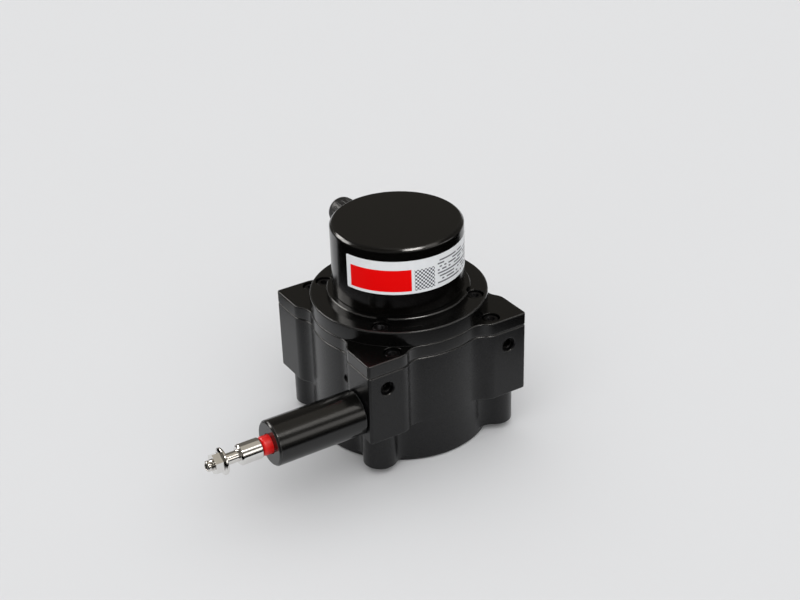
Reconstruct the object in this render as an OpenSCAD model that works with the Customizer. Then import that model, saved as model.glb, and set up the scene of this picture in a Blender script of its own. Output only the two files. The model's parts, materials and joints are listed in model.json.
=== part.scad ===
// Draw wire encoder: a spring-wound wire drum in a square housing turns a rotary encoder on top.
// Z runs along the drum axis, the origin is on that axis in the housing's bottom face,
// the wire leaves along -X and the face with the two tapped holes looks along -Y.

/* [Housing] */
// Side of the square housing
housing_side = 80; // [76:0.5:88]
// How far the corner pads stand proud of the round drum bulge
pad_proud = 0.5; // [0.2:0.1:1]
// Height of the round lower section below the corner pads
base_h = 19.5; // [18.5:0.25:26]
// Height of the upper section, from the pads' undersides to the seam
upper_h = 32.3; // [31:0.1:38]
// Wall between the drum chamber and the bulge
case_wall = 4; // [3:0.25:5]
// Radius of the spring chamber in the lower section
spring_chamber_r = 30; // [28:0.5:31]
// Thickness of the floor under the spring
floor_t = 5; // [4:0.25:6]
// Radius of the four corner bosses
boss_r = 7.5; // [6.5:0.1:8]
// Distance of a corner boss axis from each centre plane
boss_pos = 30.4; // [29.5:0.1:31]
// Height of the bosses' undersides above the bottom face
boss_lift = 2.5; // [1.5:0.25:4]
// Fillet between a corner boss and the round lower section
boss_fillet = 8; // [6:0.25:9]
// Chamfer round the bottom and the free edges
edge_chamfer = 0.6; // [0.3:0.1:1]

/* [Corner pads] */
// Where a pad's flat ends, measured from the centre plane
pad_start = 24; // [23:0.25:26]
// Radius of the convex end of a pad
pad_round = 7; // [5:0.25:8]
// Radius of the valley between a pad and the bulge
valley_r = 8; // [6:0.25:9]
// Radius of the pad's outer corner
corner_r = 1.2; // [0.8:0.1:2]

/* [Tapped holes] */
// Distance between the two tapped holes in the side face
side_hole_gap = 62; // [58:0.5:64]
// Depth of their axis below the seam
side_hole_drop = 7; // [5:0.25:9]
// Core radius of the side holes
side_hole_r = 2.5; // [2:0.05:2.8]
// Depth of the side holes
side_hole_depth = 12; // [8:0.5:13]
// Core radius of the tapped holes in the corner bosses
boss_hole_r = 2.1; // [1.6:0.05:2.5]
// Depth of the holes in the corner bosses
boss_hole_depth = 12; // [8:0.5:14]

/* [Cover and flange] */
// Thickness of the cover gasket
gasket_t = 0.6; // [0.4:0.1:1]
// How far the gasket's edge lies back from the outline
gasket_inset = 0.5; // [0.3:0.1:0.8]
// Thickness of the cover plate
cover_t = 5.6; // [5.4:0.1:8]
// Distance of a cover screw from the centre plane of its own face
cover_screw_x = 25; // [24.5:0.1:27]
// Distance of a cover screw from the edge of the pad
cover_screw_edge = 5.2; // [4.8:0.1:5.4]
// Radius of the adapter flange
flange_r = 39.2; // [38.4:0.1:39.3]
// Thickness of the adapter flange
flange_t = 7; // [6.6:0.1:9]
// Distance of the flange screws from the drum axis
flange_screw_r = 34; // [33.5:0.1:34.5]
// Angle of the first flange screw
flange_screw_angle = 45; // [40:1:50]

/* [Screws] */
// Thread radius of the cover and flange screws
screw_r = 2; // [1.5:0.05:2]
// Head radius of the cover and flange screws
screw_head_r = 3.5; // [2.75:0.05:3.5]
// Head height of the cover and flange screws
screw_head_h = 3.2; // [2.6:0.1:3.4]
// Width across flats of their hexagon sockets
screw_socket_af = 3; // [2:0.5:3]
// Radial clearance round screw heads and threads
screw_gap = 0.25; // [0.15:0.05:0.3]
// How far the heads lie below the surface
head_sink = 0.6; // [0.4:0.1:1]

/* [Drum] */
// Gap between the drum's flanges and the chamber wall
drum_gap = 4; // [3:0.25:5]
// Height of the drum's flanges outside the wire's centre line
drum_lip = 2.85; // [2:0.05:3.5]
// Thickness of the drum's flanges
drum_flange_t = 1.2; // [1:0.1:1.4]
// Radial thickness of the drum's rim under the wire
drum_rim_t = 4; // [3:0.25:5]
// Thickness of the drum's web
drum_web_t = 4; // [3:0.25:6]
// Radius of the drum's hub
drum_hub_r = 9; // [8:0.25:10]
// Radius of the lightening holes in the web
web_hole_r = 4.6; // [4:0.1:5]
// Number of lightening holes
web_holes = 6; // [4:1:7]
// Height of the wire exit above the pads' undersides
exit_rise = 11; // [10.4:0.1:12]

/* [Wire] */
// Diameter of the measuring wire
wire_d = 0.9; // [0.6:0.05:1]
// Distance between neighbouring turns
wire_pitch = 1.1; // [1.05:0.01:1.12]
// Turns on the drum with the wire drawn in
wire_turns = 11.6; // [9:0.1:11.8]
// How far the turn that the wire leaves from lies below the wire exit
take_off_drop = 2; // [1:0.1:2.1]

/* [Shafts and bearings] */
// Radius of the drum shaft
shaft_r = 4; // [3.8:0.05:4]
// Radius of the encoder shaft
encoder_shaft_r = 3; // [2.5:0.05:3]
// Outer radius of the drum bearings
drum_bearing_r = 8; // [7.8:0.05:8.5]
// Width of the drum bearings
drum_bearing_w = 5; // [4.6:0.1:5]
// Outer radius of the encoder bearings
encoder_bearing_r = 6.5; // [6.2:0.05:7]
// Width of the encoder bearings
encoder_bearing_w = 5; // [4:0.1:5.2]
// Balls in a bearing
balls = 8; // [6:1:9]
// Radial play in every bearing
bearing_play = 0.03; // [0.02:0.01:0.05]

/* [Spring] */
// Thickness of the power spring's strip
strip_t = 0.5; // [0.3:0.05:0.6]
// Turns of the power spring
spring_turns = 8; // [5:1:9]
// Width of the power spring's strip
strip_w = 8.5; // [7:0.25:9]
// Thickness of the plate over the spring
spring_cover_t = 1.5; // [1:0.1:1.6]

/* [Nozzle] */
// Radius of the nozzle tube
nozzle_r = 10; // [9:0.1:10.2]
// Length of the nozzle tube outside the housing
nozzle_len = 42; // [36:0.5:60]
// Radius of the spigot in the housing wall
spigot_r = 7; // [6.4:0.1:7.4]
// Length of the spigot
spigot_len = 12; // [10:0.5:14]
// Chamfer at both ends of the tube
nozzle_chamfer = 0.8; // [0.4:0.1:1.2]
// Length of the wire guide bush
guide_len = 8; // [6:0.5:10]
// Radial clearance of the wire in its guide
wire_gap = 0.15; // [0.1:0.01:0.3]
// Radius of the buffer
buffer_r = 4.2; // [3.6:0.1:4.8]
// Length of the buffer inside the tube
buffer_in = 12; // [8:0.5:14]
// How far the buffer stands out of the tube
buffer_out = 4; // [2:0.25:6]
// Length of the wiper felt behind the buffer
felt_len = 8; // [5:0.5:8]

/* [Wire end] */
// Radius of the ferrule
ferrule_r = 4.6; // [4:0.1:5]
// Length of the ferrule
ferrule_len = 10.2; // [9:0.1:14]
// Radius of the threaded stud
stud_r = 2.5; // [2:0.05:2.7]
// Length of the stud outside the ferrule
stud_len = 14; // [12:0.25:20]
// Bare stud between the ferrule and the flange nut
bare_stud = 6.2; // [5:0.1:8]
// Width across flats of the nut
nut_af = 8; // [7.6:0.1:9]
// Height of the nut with its flange
nut_h = 5; // [4:0.1:6]
// Radius of the nut's flange
nut_flange_r = 5.9; // [5.4:0.1:6.5]
// Radius of the blind hole in the stud's tip
tip_hole_r = 1.1; // [0.8:0.1:1.3]

/* [Encoder] */
// Radius of the encoder can
can_r = 29; // [28.5:0.1:29.5]
// Height of the can above its base rim
can_h = 31.45; // [30.6:0.05:36]
// Wall of the can
can_wall = 1.6; // [1.2:0.1:1.8]
// Width of the bevel round the can's top
can_bevel = 1.3; // [0.8:0.1:1.4]
// Radius of the encoder's base rim
rim_r = 31.6; // [31:0.1:32]
// Thickness of the base rim
rim_t = 2.25; // [1.8:0.05:3]
// Gap between the code disc and the posts beside it
disc_gap = 0.8; // [0.6:0.1:3]
// Thickness of the code disc
disc_t = 1; // [0.6:0.1:1.4]
// Thickness of the circuit board
board_t = 1.6; // [1:0.1:2]
// Height of the label
label_h = 16.5; // [14:0.5:18]
// Height of the label's lower edge above the base rim
label_rise = 10.75; // [9:0.25:12]
// Angle at which the label starts
label_start = 188; // [180:1:200]
// Angle the label covers
label_sweep = 164; // [120:1:164]
// Thickness of the label
label_t = 0.15; // [0.1:0.05:0.3]

/* [Cable gland] */
// Height of the gland's axis above the base rim
gland_rise = 16.25; // [14:0.25:18]
// Thread radius of the gland
gland_thread_r = 6; // [5:0.1:6.2]
// Width across flats of the gland's collar
gland_af = 14; // [13:0.25:15]
// Thickness of the collar
gland_collar_t = 4; // [3:0.25:5]
// Radius of the ribbed clamping nut
gland_nut_r = 7; // [6.6:0.1:7.6]
// Length of the ribbed clamping nut
gland_nut_len = 16; // [14:0.5:18]
// Ribs round the clamping nut
gland_ribs = 18; // [12:1:24]
// Radius of the cable hole
gland_hole_r = 3.1; // [2:0.05:3.2]

/* [Hidden] */
$fn = 96;

// Running clearance between pieces that turn and pieces that stand still
run_gap = 0.5;
// Clearance between fitted pieces of one body
fit_gap = 0.05;
// Overshoot that keeps cuts from ending in a shared face
cut = 1;

// Straight steps in each small arc of the outline, and how far its ends lap into the bulge
arc_steps = 8;
seam_lap = 0.02;

// Outline
half_side = housing_side / 2;
bulge_r = half_side - pad_proud;
chamber_r = bulge_r - case_wall;
pad_centre = [pad_start, half_side - pad_round];

// Levels
pad_z = base_h;
seam_z = pad_z + upper_h;
cover_z = seam_z + gasket_t;
flange_z = cover_z + cover_t;
rim_z = flange_z + flange_t;
can_z = rim_z + rim_t;

// Drum and wire
drum_r = chamber_r - drum_gap;
wind_r = drum_r - drum_lip;
wire_r = wire_d / 2;
core_r = wind_r - wire_r - 0.1;
exit_z = pad_z + exit_rise;
wind_h = wire_turns * wire_pitch;
wind_end_gap = 0.5;
drum_h = wind_h + wire_d + 2 * (drum_flange_t + wind_end_gap);
wind_z = exit_z - take_off_drop;
drum_z = wind_z - wire_r - wind_end_gap - drum_flange_t;
wind_steps = 48;
wind_sides = 6;

// Shaft stack, from the floor up
low_bearing_z = floor_t - 2;
arbor_z = low_bearing_z + drum_bearing_w;
arbor_r = drum_hub_r;
hub_top = drum_z + drum_h + 1;
top_bearing_z = flange_z - drum_bearing_w;
clamp_z = hub_top;
clamp_h = (cover_z - run_gap - clamp_z) * 0.78;
clamp_r = 10;
spacer_z = clamp_z + clamp_h;
shaft_top = flange_z + 1;
socket_depth = 14;
slit_w = 1.2;
clamp_screw_r = 1.25;
clamp_screw_len = 9;
clamp_screw_x = 7;
clamp_screw_y = 4;
clamp_head_r = 2.2;
pin_r = 1.25;
pin_drop = 2.6;

// Cover and flange screws, and the small set screw in the bulge on the wire exit side
cover_screw_hold = 9;
cover_screw_len = cover_t - screw_head_h - head_sink + cover_screw_hold;
flange_screw_len = flange_t - screw_head_h - head_sink + cover_t - 1;
set_screw_y = -15.7;
set_screw_z = exit_z + 8.6;
set_screw_r = 1.3;
set_screw_af = 1.3;
set_screw_len = 4;
set_screw_sink = 1;

// Bearing parts, as shares of the space between bore and outer radius
ball_share = 0.275;
ring_share = 0.325;
bearing_relief = 0.5;

// Spring
strip_z = arbor_z + 2;
spring_cover_r = chamber_r - 0.2;
spring_cover_hole_r = drum_hub_r - 1.5;
arbor_neck_r = spring_cover_hole_r - 2 * run_gap;
spring_screw_r = 1.5;
spring_screw_pos = (spring_chamber_r + spring_cover_r) / 2 - 0.3;
spring_screw_angles = [15, 135, 255];
spring_screw_depth = 6;
spring_head_r = 2.1;
spring_head_h = 1.2;
spring_head_seat = 0.6;

// Nozzle, measured along -X from the housing's wire exit face
exit_y = -wind_r;
face_x = half_side;
mouth_x = face_x + nozzle_len;
guide_r = spigot_r - 1.8;
guide_x = face_x + 2;
passage_r = 3;
recess_r = buffer_r + fit_gap;
felt_x = mouth_x - buffer_in - felt_len;
buffer_tip = mouth_x + buffer_out;
ferrule_x = buffer_tip + 0.3;
ferrule_end = ferrule_x + ferrule_len;
stud_seat = 3;
stud_tip = ferrule_end + stud_len;
nut_x = ferrule_end + bare_stud;
bead_r = 1.5;
bead_len = 2.5;

// Encoder
can_inner_r = can_r - can_wall;
barrel_r = can_inner_r - fit_gap;
barrel_h = 3.8;
pilot_r = 18;
pilot_h = 2.5;
base_hub_r = 11;
base_bearing_z = rim_z - pilot_h + 0.5;
base_shoulder_h = 5;
base_hub_top = base_bearing_z + 2 * encoder_bearing_w + base_shoulder_h;
hub_seat_h = 0.6;
disc_hub_h = 4.7;
disc_z = base_hub_top + disc_hub_h;
disc_hub_r = 10;
disc_bore_r = 5;
clamp_disc_t = 1.5;
board_gap = 5;
board_z = disc_z + disc_t + board_gap;
board_r = can_inner_r - 1.2;
head_w = 12;
head_reach = 5;
head_wall = 2.6;
head_gap = 0.6;
post_screw_r = 1;
post_hole_depth = 5;
chip = [10, 10, 1.2];
driver_chip = [6, 4, 1.5];
memory_chip = [5, 8, 2];
connector = [12, 5, 4.5];
capacitor_r = 2.5;
post_r = 2;
post_pos = can_inner_r - post_r - 1.6;
disc_r = post_pos - post_r - disc_gap;
post_angles = [0, 120, 240];
seal_r = 0.9;
mount_screw_pos = 21;
mount_screw_r = 1.5;
mount_head_r = 2.75;
mount_head_h = 3;
mount_angles = [30, 150, 270];
gland_z = can_z + gland_rise;
label_z = can_z + label_rise;

// Gland, measured along +Y
gland_boss_r = gland_af / 2 + 1.1;
gland_seat_y = can_r + 1.6;
gland_in_y = can_inner_r - 0.4;
gland_neck_r = gland_nut_r - 1.4;
gland_neck_len = 6;
gland_nut_y = gland_seat_y + gland_collar_t + 0.3;
gland_seal_r = gland_neck_r - 0.9;
gland_rib_r = 0.6;
gland_dome = 3.6;
gland_seal_len = 0.81 * gland_nut_len;

// Centre of a fillet circle that touches circles (c1, r1) and (c2, r2) from outside
function touch_centre(c1, r1, c2, r2, r, side) =
  let(d = c2 - c1, l = norm(d), a = r1 + r, b = r2 + r, u = (a * a - b * b + l * l) / (2 * l))
  let(h = sqrt(max(a * a - u * u, 0)))
  c1 + d / l * u + side * [-d[1], d[0]] / l * h;

pad_valley = touch_centre([0, 0], bulge_r, pad_centre, pad_round, valley_r, 1);
boss_valley = touch_centre([0, 0], bulge_r, [boss_pos, boss_pos], boss_r, boss_fillet, 1);

// Places the children at the four quarter turns
module quarters() {
  for (turn = [0:3])
    rotate([0, 0, 90 * turn])
      children();
}

// Points of an arc round c from angle a1 to a2
function arc(c, r, a1, a2, steps) =
  [for (i = [0:steps]) c + r * [cos(a1 + (a2 - a1) * i / steps), sin(a1 + (a2 - a1) * i / steps)]];
function swapped(points) = [for (i = [len(points) - 1:-1:0]) [points[i][1], points[i][0]]];

// Half of a corner from the bulge to the diagonal: a valley, then a convex round c with radius r
function shoulder(valley, valley_r, c, r, end_angle) =
  let(to_valley = atan2(valley[1] - c[1], valley[0] - c[0]))
  let(to_centre = atan2(-valley[1], -valley[0]))
  concat(
    [valley * (1 - (valley_r + seam_lap) / norm(valley))],
    [for (i = [1:arc_steps])
      let(a = to_centre + (to_valley - 180 - to_centre) * i / arc_steps)
      valley + valley_r * [cos(a), sin(a)]],
    arc(c, r, to_valley, end_angle, arc_steps)
  );

// Block with the housing's outline seen from above, its edge set back by inset
module case_block(h, inset = 0) {
  corner = half_side - corner_r;
  side = shoulder(pad_valley, valley_r + inset, pad_centre, pad_round - inset, 90);
  cylinder(r = bulge_r - inset, h = h);
  quarters()
    linear_extrude(h)
      polygon(concat([[0, 0]], side, arc([corner, corner], corner_r - inset, 90, 0, 4), swapped(side)));
}

// Block with the outline of the lower section and its corner bosses
module base_block(h) {
  side = shoulder(boss_valley, boss_fillet, [boss_pos, boss_pos], boss_r, 45);
  cylinder(r = bulge_r, h = h);
  quarters()
    linear_extrude(h)
      polygon(concat([[0, 0]], side, swapped(side)));
}

// Disc with a chamfered top edge
module bevelled_disc(r, h, bevel) {
  rotate_extrude()
    polygon([[0, 0], [r, 0], [r, h - bevel], [r - bevel, h], [0, h]]);
}

// Turns the children so that their +Z axis points along -X at the wire's height
module along_exit() {
  translate([0, exit_y, exit_z])
    rotate([0, -90, 0])
      children();
}

// Socket head screw, its head's underside at z = 0 and its thread below
module socket_screw(r, length, head_r, head_h, af) {
  difference() {
    union() {
      translate([0, 0, -length])
        cylinder(r = r, h = length + 0.1);
      bevelled_disc(head_r, head_h, 0.3);
    }
    translate([0, 0, head_h * 0.45])
      cylinder(r = af / sqrt(3), h = head_h, $fn = 6);
  }
}

// Places of the four cover screws, two along each of the faces across Y
module cover_screw_places() {
  for (x = [-1, 1], y = [-1, 1])
    translate([x * cover_screw_x, y * (half_side - cover_screw_edge), 0])
      children();
}

// Places of the four flange screws
module flange_screw_places() {
  for (turn = [0:3])
    rotate([0, 0, flange_screw_angle + 90 * turn])
      translate([flange_screw_r, 0, 0])
        children();
}

// Places of the three screws that hold the encoder to the flange
module mount_screw_places() {
  for (a = mount_angles)
    rotate([0, 0, a])
      translate([mount_screw_pos, 0, 0])
        children();
}

// Places of the posts under the circuit board
module post_places() {
  for (a = post_angles)
    rotate([0, 0, a])
      translate([post_pos, 0, 0])
        children();
}

// Places of the screws that hold the plate over the spring, at its underside
module spring_screw_places() {
  for (a = spring_screw_angles)
    rotate([0, 0, a])
      translate([spring_screw_pos, 0, pad_z])
        children();
}

// Turns the children so that their +Z axis points out of the bulge at the set screw
module set_screw_place() {
  translate([-sqrt(bulge_r * bulge_r - set_screw_y * set_screw_y), set_screw_y, set_screw_z])
    rotate([0, -90, 0])
      children();
}

// Blind hole along +Z from z = 0
module blind_hole(r, depth) {
  translate([0, 0, -cut])
    cylinder(r = r, h = depth + cut);
}

module housing() {
  color([0.09, 0.09, 0.1])
  difference() {
    union() {
      translate([0, 0, edge_chamfer])
        cylinder(r = bulge_r, h = pad_z - edge_chamfer);
      cylinder(r1 = bulge_r - edge_chamfer, r2 = bulge_r, h = edge_chamfer);
      translate([0, 0, boss_lift])
        base_block(pad_z - boss_lift + cut);
      translate([0, 0, pad_z])
        case_block(upper_h);
    }
    translate([0, 0, pad_z])
      cylinder(r = chamber_r, h = upper_h + cut);
    difference() {
      translate([0, 0, floor_t])
        cylinder(r = spring_chamber_r, h = base_h);
      cylinder(r = drum_bearing_r + 3, h = arbor_z);
    }
    translate([0, 0, low_bearing_z])
      cylinder(r = drum_bearing_r, h = base_h);
    translate([0, 0, low_bearing_z - bearing_relief])
      cylinder(r = track(shaft_r, drum_bearing_r), h = base_h);
    // Wire exit
    along_exit()
      translate([0, 0, chamber_r / 2])
        cylinder(r = spigot_r + fit_gap, h = half_side);
    // Tapped holes
    for (x = [-1, 1])
      translate([x * side_hole_gap / 2, -half_side, seam_z - side_hole_drop])
        rotate([-90, 0, 0])
          blind_hole(side_hole_r, side_hole_depth);
    for (x = [-1, 1], y = [-1, 1])
      translate([x * boss_pos, y * boss_pos, boss_lift])
        blind_hole(boss_hole_r, boss_hole_depth);
    cover_screw_places()
      translate([0, 0, seam_z - cover_screw_hold - 1])
        cylinder(r = screw_r, h = cover_screw_hold + 1 + cut);
    spring_screw_places()
      translate([0, 0, -spring_screw_depth])
        cylinder(r = spring_screw_r, h = spring_screw_depth + cut);
    set_screw_place()
      translate([0, 0, -case_wall - 2])
        cylinder(r = set_screw_r, h = case_wall + 4);
  }
}

module side_set_screw() {
  color([0.35, 0.35, 0.37])
  set_screw_place()
    translate([0, 0, -set_screw_sink])
      difference() {
        translate([0, 0, -set_screw_len])
          cylinder(r = set_screw_r, h = set_screw_len);
        translate([0, 0, -set_screw_len * 0.4])
          cylinder(r = set_screw_af / sqrt(3), h = set_screw_len, $fn = 6);
      }
}

module cover_gasket() {
  color([0.05, 0.05, 0.05])
  translate([0, 0, seam_z])
    difference() {
      case_block(gasket_t, gasket_inset);
      translate([0, 0, -cut])
        cylinder(r = chamber_r, h = gasket_t + 2 * cut);
      cover_screw_places()
        translate([0, 0, -cut])
          cylinder(r = screw_r + screw_gap, h = gasket_t + 2 * cut);
    }
}

module cover_plate() {
  color([0.1, 0.1, 0.11])
  difference() {
    translate([0, 0, cover_z])
      case_block(cover_t);
    translate([0, 0, top_bearing_z])
      cylinder(r = drum_bearing_r, h = cover_t);
    translate([0, 0, cover_z - cut])
      cylinder(r = drum_bearing_r - 1.5, h = cover_t);
    cover_screw_places() {
      translate([0, 0, cover_z - cut])
        cylinder(r = screw_r + screw_gap, h = cover_t + 2 * cut);
      translate([0, 0, flange_z - head_sink - screw_head_h])
        cylinder(r = screw_head_r + screw_gap, h = cover_t);
    }
    flange_screw_places()
      translate([0, 0, cover_z - cut])
        cylinder(r = screw_r, h = cover_t + 2 * cut);
  }
}

module cover_screws() {
  color([0.16, 0.16, 0.17])
  cover_screw_places()
    translate([0, 0, flange_z - head_sink - screw_head_h])
      socket_screw(screw_r, cover_screw_len, screw_head_r, screw_head_h, screw_socket_af);
}

module adapter_flange() {
  color([0.1, 0.1, 0.11])
  difference() {
    translate([0, 0, flange_z])
      bevelled_disc(flange_r, flange_t, edge_chamfer);
    translate([0, 0, flange_z - cut])
      cylinder(r = drum_bearing_r - 0.8, h = flange_t + 2 * cut);
    translate([0, 0, rim_z - pilot_h])
      cylinder(r = pilot_r + fit_gap, h = flange_t);
    flange_screw_places()
      flange_screw_hole();
    mount_screw_places() {
      translate([0, 0, flange_z - cut])
        cylinder(r = mount_screw_r + screw_gap, h = flange_t + 2 * cut);
      translate([0, 0, flange_z - cut])
        cylinder(r = mount_head_r + screw_gap, h = mount_head_h + 0.3 + cut);
    }
  }
}

// Counterbored hole of a flange screw, open upwards through the base rim
module flange_screw_hole() {
  translate([0, 0, flange_z - cut])
    cylinder(r = screw_r + screw_gap, h = flange_t + cut);
  translate([0, 0, rim_z - head_sink - screw_head_h])
    cylinder(r = screw_head_r + screw_gap, h = flange_t);
}

module flange_screws() {
  color([0.16, 0.16, 0.17])
  flange_screw_places()
    translate([0, 0, rim_z - head_sink - screw_head_h])
      socket_screw(screw_r, flange_screw_len, screw_head_r, screw_head_h, screw_socket_af);
}

// Sizes of a ball bearing that follow from its bore and outer radius
function track(bore_r, outer_r) = (bore_r + outer_r) / 2;
function ring_t(bore_r, outer_r) = ring_share * (outer_r - bore_r);
function ball_r(bore_r, outer_r) = ball_share * (outer_r - bore_r);

// Ring of a ball bearing that starts at radius r1, with a rolling groove for balls of radius ball
module bearing_ring(r1, t, w, track_r, ball) {
  difference() {
    rotate_extrude()
      translate([r1, 0])
        square([t, w]);
    translate([0, 0, w / 2])
      rotate_extrude()
        translate([track_r, 0])
          circle(r = ball + bearing_play);
  }
}

module bearing_outer(bore_r, outer_r, w) {
  t = ring_t(bore_r, outer_r);
  bearing_ring(outer_r - t, t, w, track(bore_r, outer_r), ball_r(bore_r, outer_r));
}

module bearing_inner(bore_r, outer_r, w) {
  bearing_ring(bore_r, ring_t(bore_r, outer_r), w, track(bore_r, outer_r), ball_r(bore_r, outer_r));
}

module bearing_balls(bore_r, outer_r, w) {
  for (i = [0:balls - 1])
    rotate([0, 0, 360 / balls * i])
      translate([track(bore_r, outer_r), 0, w / 2])
        sphere(r = ball_r(bore_r, outer_r), $fn = 32);
}

// The two places of the drum bearings
module drum_bearing_places() {
  for (z = [low_bearing_z, top_bearing_z])
    translate([0, 0, z])
      children();
}

// The two places of the encoder bearings
module encoder_bearing_places() {
  for (z = [base_bearing_z, base_hub_top - encoder_bearing_w])
    translate([0, 0, z])
      children();
}

module drum_bearing_outers() {
  color([0.75, 0.76, 0.78])
  drum_bearing_places()
    bearing_outer(shaft_r, drum_bearing_r, drum_bearing_w);
}

module drum_bearing_inners() {
  color([0.75, 0.76, 0.78])
  drum_bearing_places()
    bearing_inner(shaft_r, drum_bearing_r, drum_bearing_w);
}

module drum_bearing_balls() {
  color([0.85, 0.86, 0.88])
  drum_bearing_places()
    bearing_balls(shaft_r, drum_bearing_r, drum_bearing_w);
}

// Spiral strip from radius r1 to r2, its edges half a thickness to each side
function spiral_edge(r1, r2, turns, side) =
  [for (i = [0:turns * 36])
    let(a = i * 10, r = r1 + (r2 - r1) * i / (turns * 36) + side)
    [r * cos(a), r * sin(a)]];
function reversed(list) = [for (i = [len(list) - 1:-1:0]) list[i]];

module power_spring() {
  first_r = arbor_r + 1 + strip_t;
  last_r = spring_chamber_r - strip_t / 2 - 0.3;
  inner = spiral_edge(first_r, last_r, spring_turns, -strip_t / 2);
  outer = spiral_edge(first_r, last_r, spring_turns, strip_t / 2);
  color([0.45, 0.47, 0.5])
  translate([0, 0, strip_z])
    linear_extrude(strip_w)
      polygon(concat(inner, reversed(outer)));
}

module spring_arbor() {
  color([0.7, 0.7, 0.72])
  translate([0, 0, arbor_z])
    rotate_extrude()
      polygon([[shaft_r, 0], [shaft_r + 1.2, 0], [shaft_r + 1.2, 1.3], [arbor_r, 1.3],
               [arbor_r, pad_z - 1 - arbor_z], [arbor_neck_r, pad_z - 1 - arbor_z],
               [arbor_neck_r, drum_z - arbor_z], [shaft_r, drum_z - arbor_z]]);
}

module spring_cover() {
  color([0.55, 0.56, 0.58])
  translate([0, 0, pad_z])
    difference() {
      cylinder(r = spring_cover_r, h = spring_cover_t);
      translate([0, 0, -cut])
        cylinder(r = spring_cover_hole_r, h = spring_cover_t + 2 * cut);
      translate([0, 0, -pad_z])
        spring_screw_places() {
          translate([0, 0, -cut])
            cylinder(r = spring_screw_r + screw_gap, h = spring_cover_t + 2 * cut);
          translate([0, 0, spring_head_seat])
            cylinder(r = spring_head_r + screw_gap, h = spring_cover_t);
        }
    }
}

module spring_cover_screws() {
  color([0.7, 0.7, 0.72])
  spring_screw_places()
    translate([0, 0, spring_head_seat])
      socket_screw(spring_screw_r, spring_screw_depth, spring_head_r, spring_head_h, spring_screw_r);
}

module cable_drum() {
  color([0.78, 0.79, 0.8])
  translate([0, 0, drum_z])
    difference() {
      rotate_extrude() {
        rim_in = core_r - drum_rim_t;
        mid = drum_h / 2;
        polygon([[shaft_r, 0], [drum_hub_r, 0], [drum_hub_r, mid - drum_web_t / 2],
                 [rim_in, mid - drum_web_t / 2], [rim_in, 0], [drum_r, 0], [drum_r, drum_flange_t],
                 [core_r, drum_flange_t], [core_r, drum_h - drum_flange_t],
                 [drum_r, drum_h - drum_flange_t], [drum_r, drum_h], [rim_in, drum_h],
                 [rim_in, mid + drum_web_t / 2], [drum_hub_r, mid + drum_web_t / 2],
                 [drum_hub_r, hub_top - drum_z], [shaft_r, hub_top - drum_z]]);
      }
      for (i = [0:web_holes - 1])
        rotate([0, 0, 360 / web_holes * i])
          translate([(core_r - drum_rim_t + drum_hub_r) / 2, 0, 0])
            cylinder(r = web_hole_r, h = drum_h);
      drum_pin_hole();
    }
}

// Cross hole for the drum pin, in the drum's own height
module drum_pin_hole() {
  translate([-drum_hub_r - cut, 0, hub_top - drum_z - pin_drop])
    rotate([0, 90, 0])
      cylinder(r = pin_r, h = 2 * (drum_hub_r + cut));
}

module drum_pin() {
  color([0.6, 0.6, 0.62])
  translate([-drum_hub_r, 0, hub_top - pin_drop])
    rotate([0, 90, 0])
      cylinder(r = pin_r, h = 2 * drum_hub_r);
}

module drum_shaft() {
  color([0.72, 0.73, 0.75])
  difference() {
    translate([0, 0, low_bearing_z + 0.3])
      rotate_extrude()
        polygon([[0, 0], [shaft_r - 0.5, 0], [shaft_r, 0.5], [shaft_r, shaft_top - low_bearing_z - 0.3],
                 [0, shaft_top - low_bearing_z - 0.3]]);
    translate([0, 0, shaft_top - socket_depth])
      cylinder(r = encoder_shaft_r + fit_gap / 2, h = socket_depth + cut);
    translate([0, -slit_w / 2, shaft_top - socket_depth])
      cube([shaft_r + cut, slit_w, socket_depth + cut]);
    translate([0, 0, drum_z])
      drum_pin_hole();
  }
}

module clamp_ring() {
  color([0.7, 0.71, 0.73])
  difference() {
    translate([0, 0, clamp_z])
      cylinder(r = clamp_r, h = clamp_h);
    translate([0, 0, clamp_z - cut])
      cylinder(r = shaft_r, h = clamp_h + 2 * cut);
    translate([0, -slit_w / 2, clamp_z - cut])
      cube([clamp_r + cut, slit_w, clamp_h + 2 * cut]);
    clamp_screw_place()
      translate([0, 0, -2 * clamp_r])
        cylinder(r = clamp_screw_r, h = 2 * clamp_r + cut);
    clamp_screw_place()
      cylinder(r = clamp_head_r + screw_gap, h = clamp_r);
  }
}

// Turns the children so that their +Z axis points out of the clamp ring at its screw's head
module clamp_screw_place() {
  translate([clamp_screw_x, clamp_screw_y, clamp_z + clamp_h / 2])
    rotate([-90, 0, 0])
      children();
}

module clamp_screw() {
  color([0.3, 0.3, 0.32])
  clamp_screw_place()
    socket_screw(clamp_screw_r, clamp_screw_len, clamp_head_r, clamp_head_r, 2 * clamp_screw_r * 0.8);
}

module bearing_spacer() {
  color([0.6, 0.6, 0.62])
  translate([0, 0, spacer_z])
    rotate_extrude()
      translate([shaft_r, 0])
        square([1.3, top_bearing_z - spacer_z]);
}

// Measuring wire wound on the drum: a helix that starts where the wire leaves
function wind_point(i, k) =
  let(a = 270 + 360 * i / wind_steps, z = wind_z + wire_pitch * i / wind_steps)
  let(b = 360 * k / wind_sides, r = wind_r + wire_r * cos(b))
  [r * cos(a), r * sin(a), z + wire_r * sin(b)];

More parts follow.
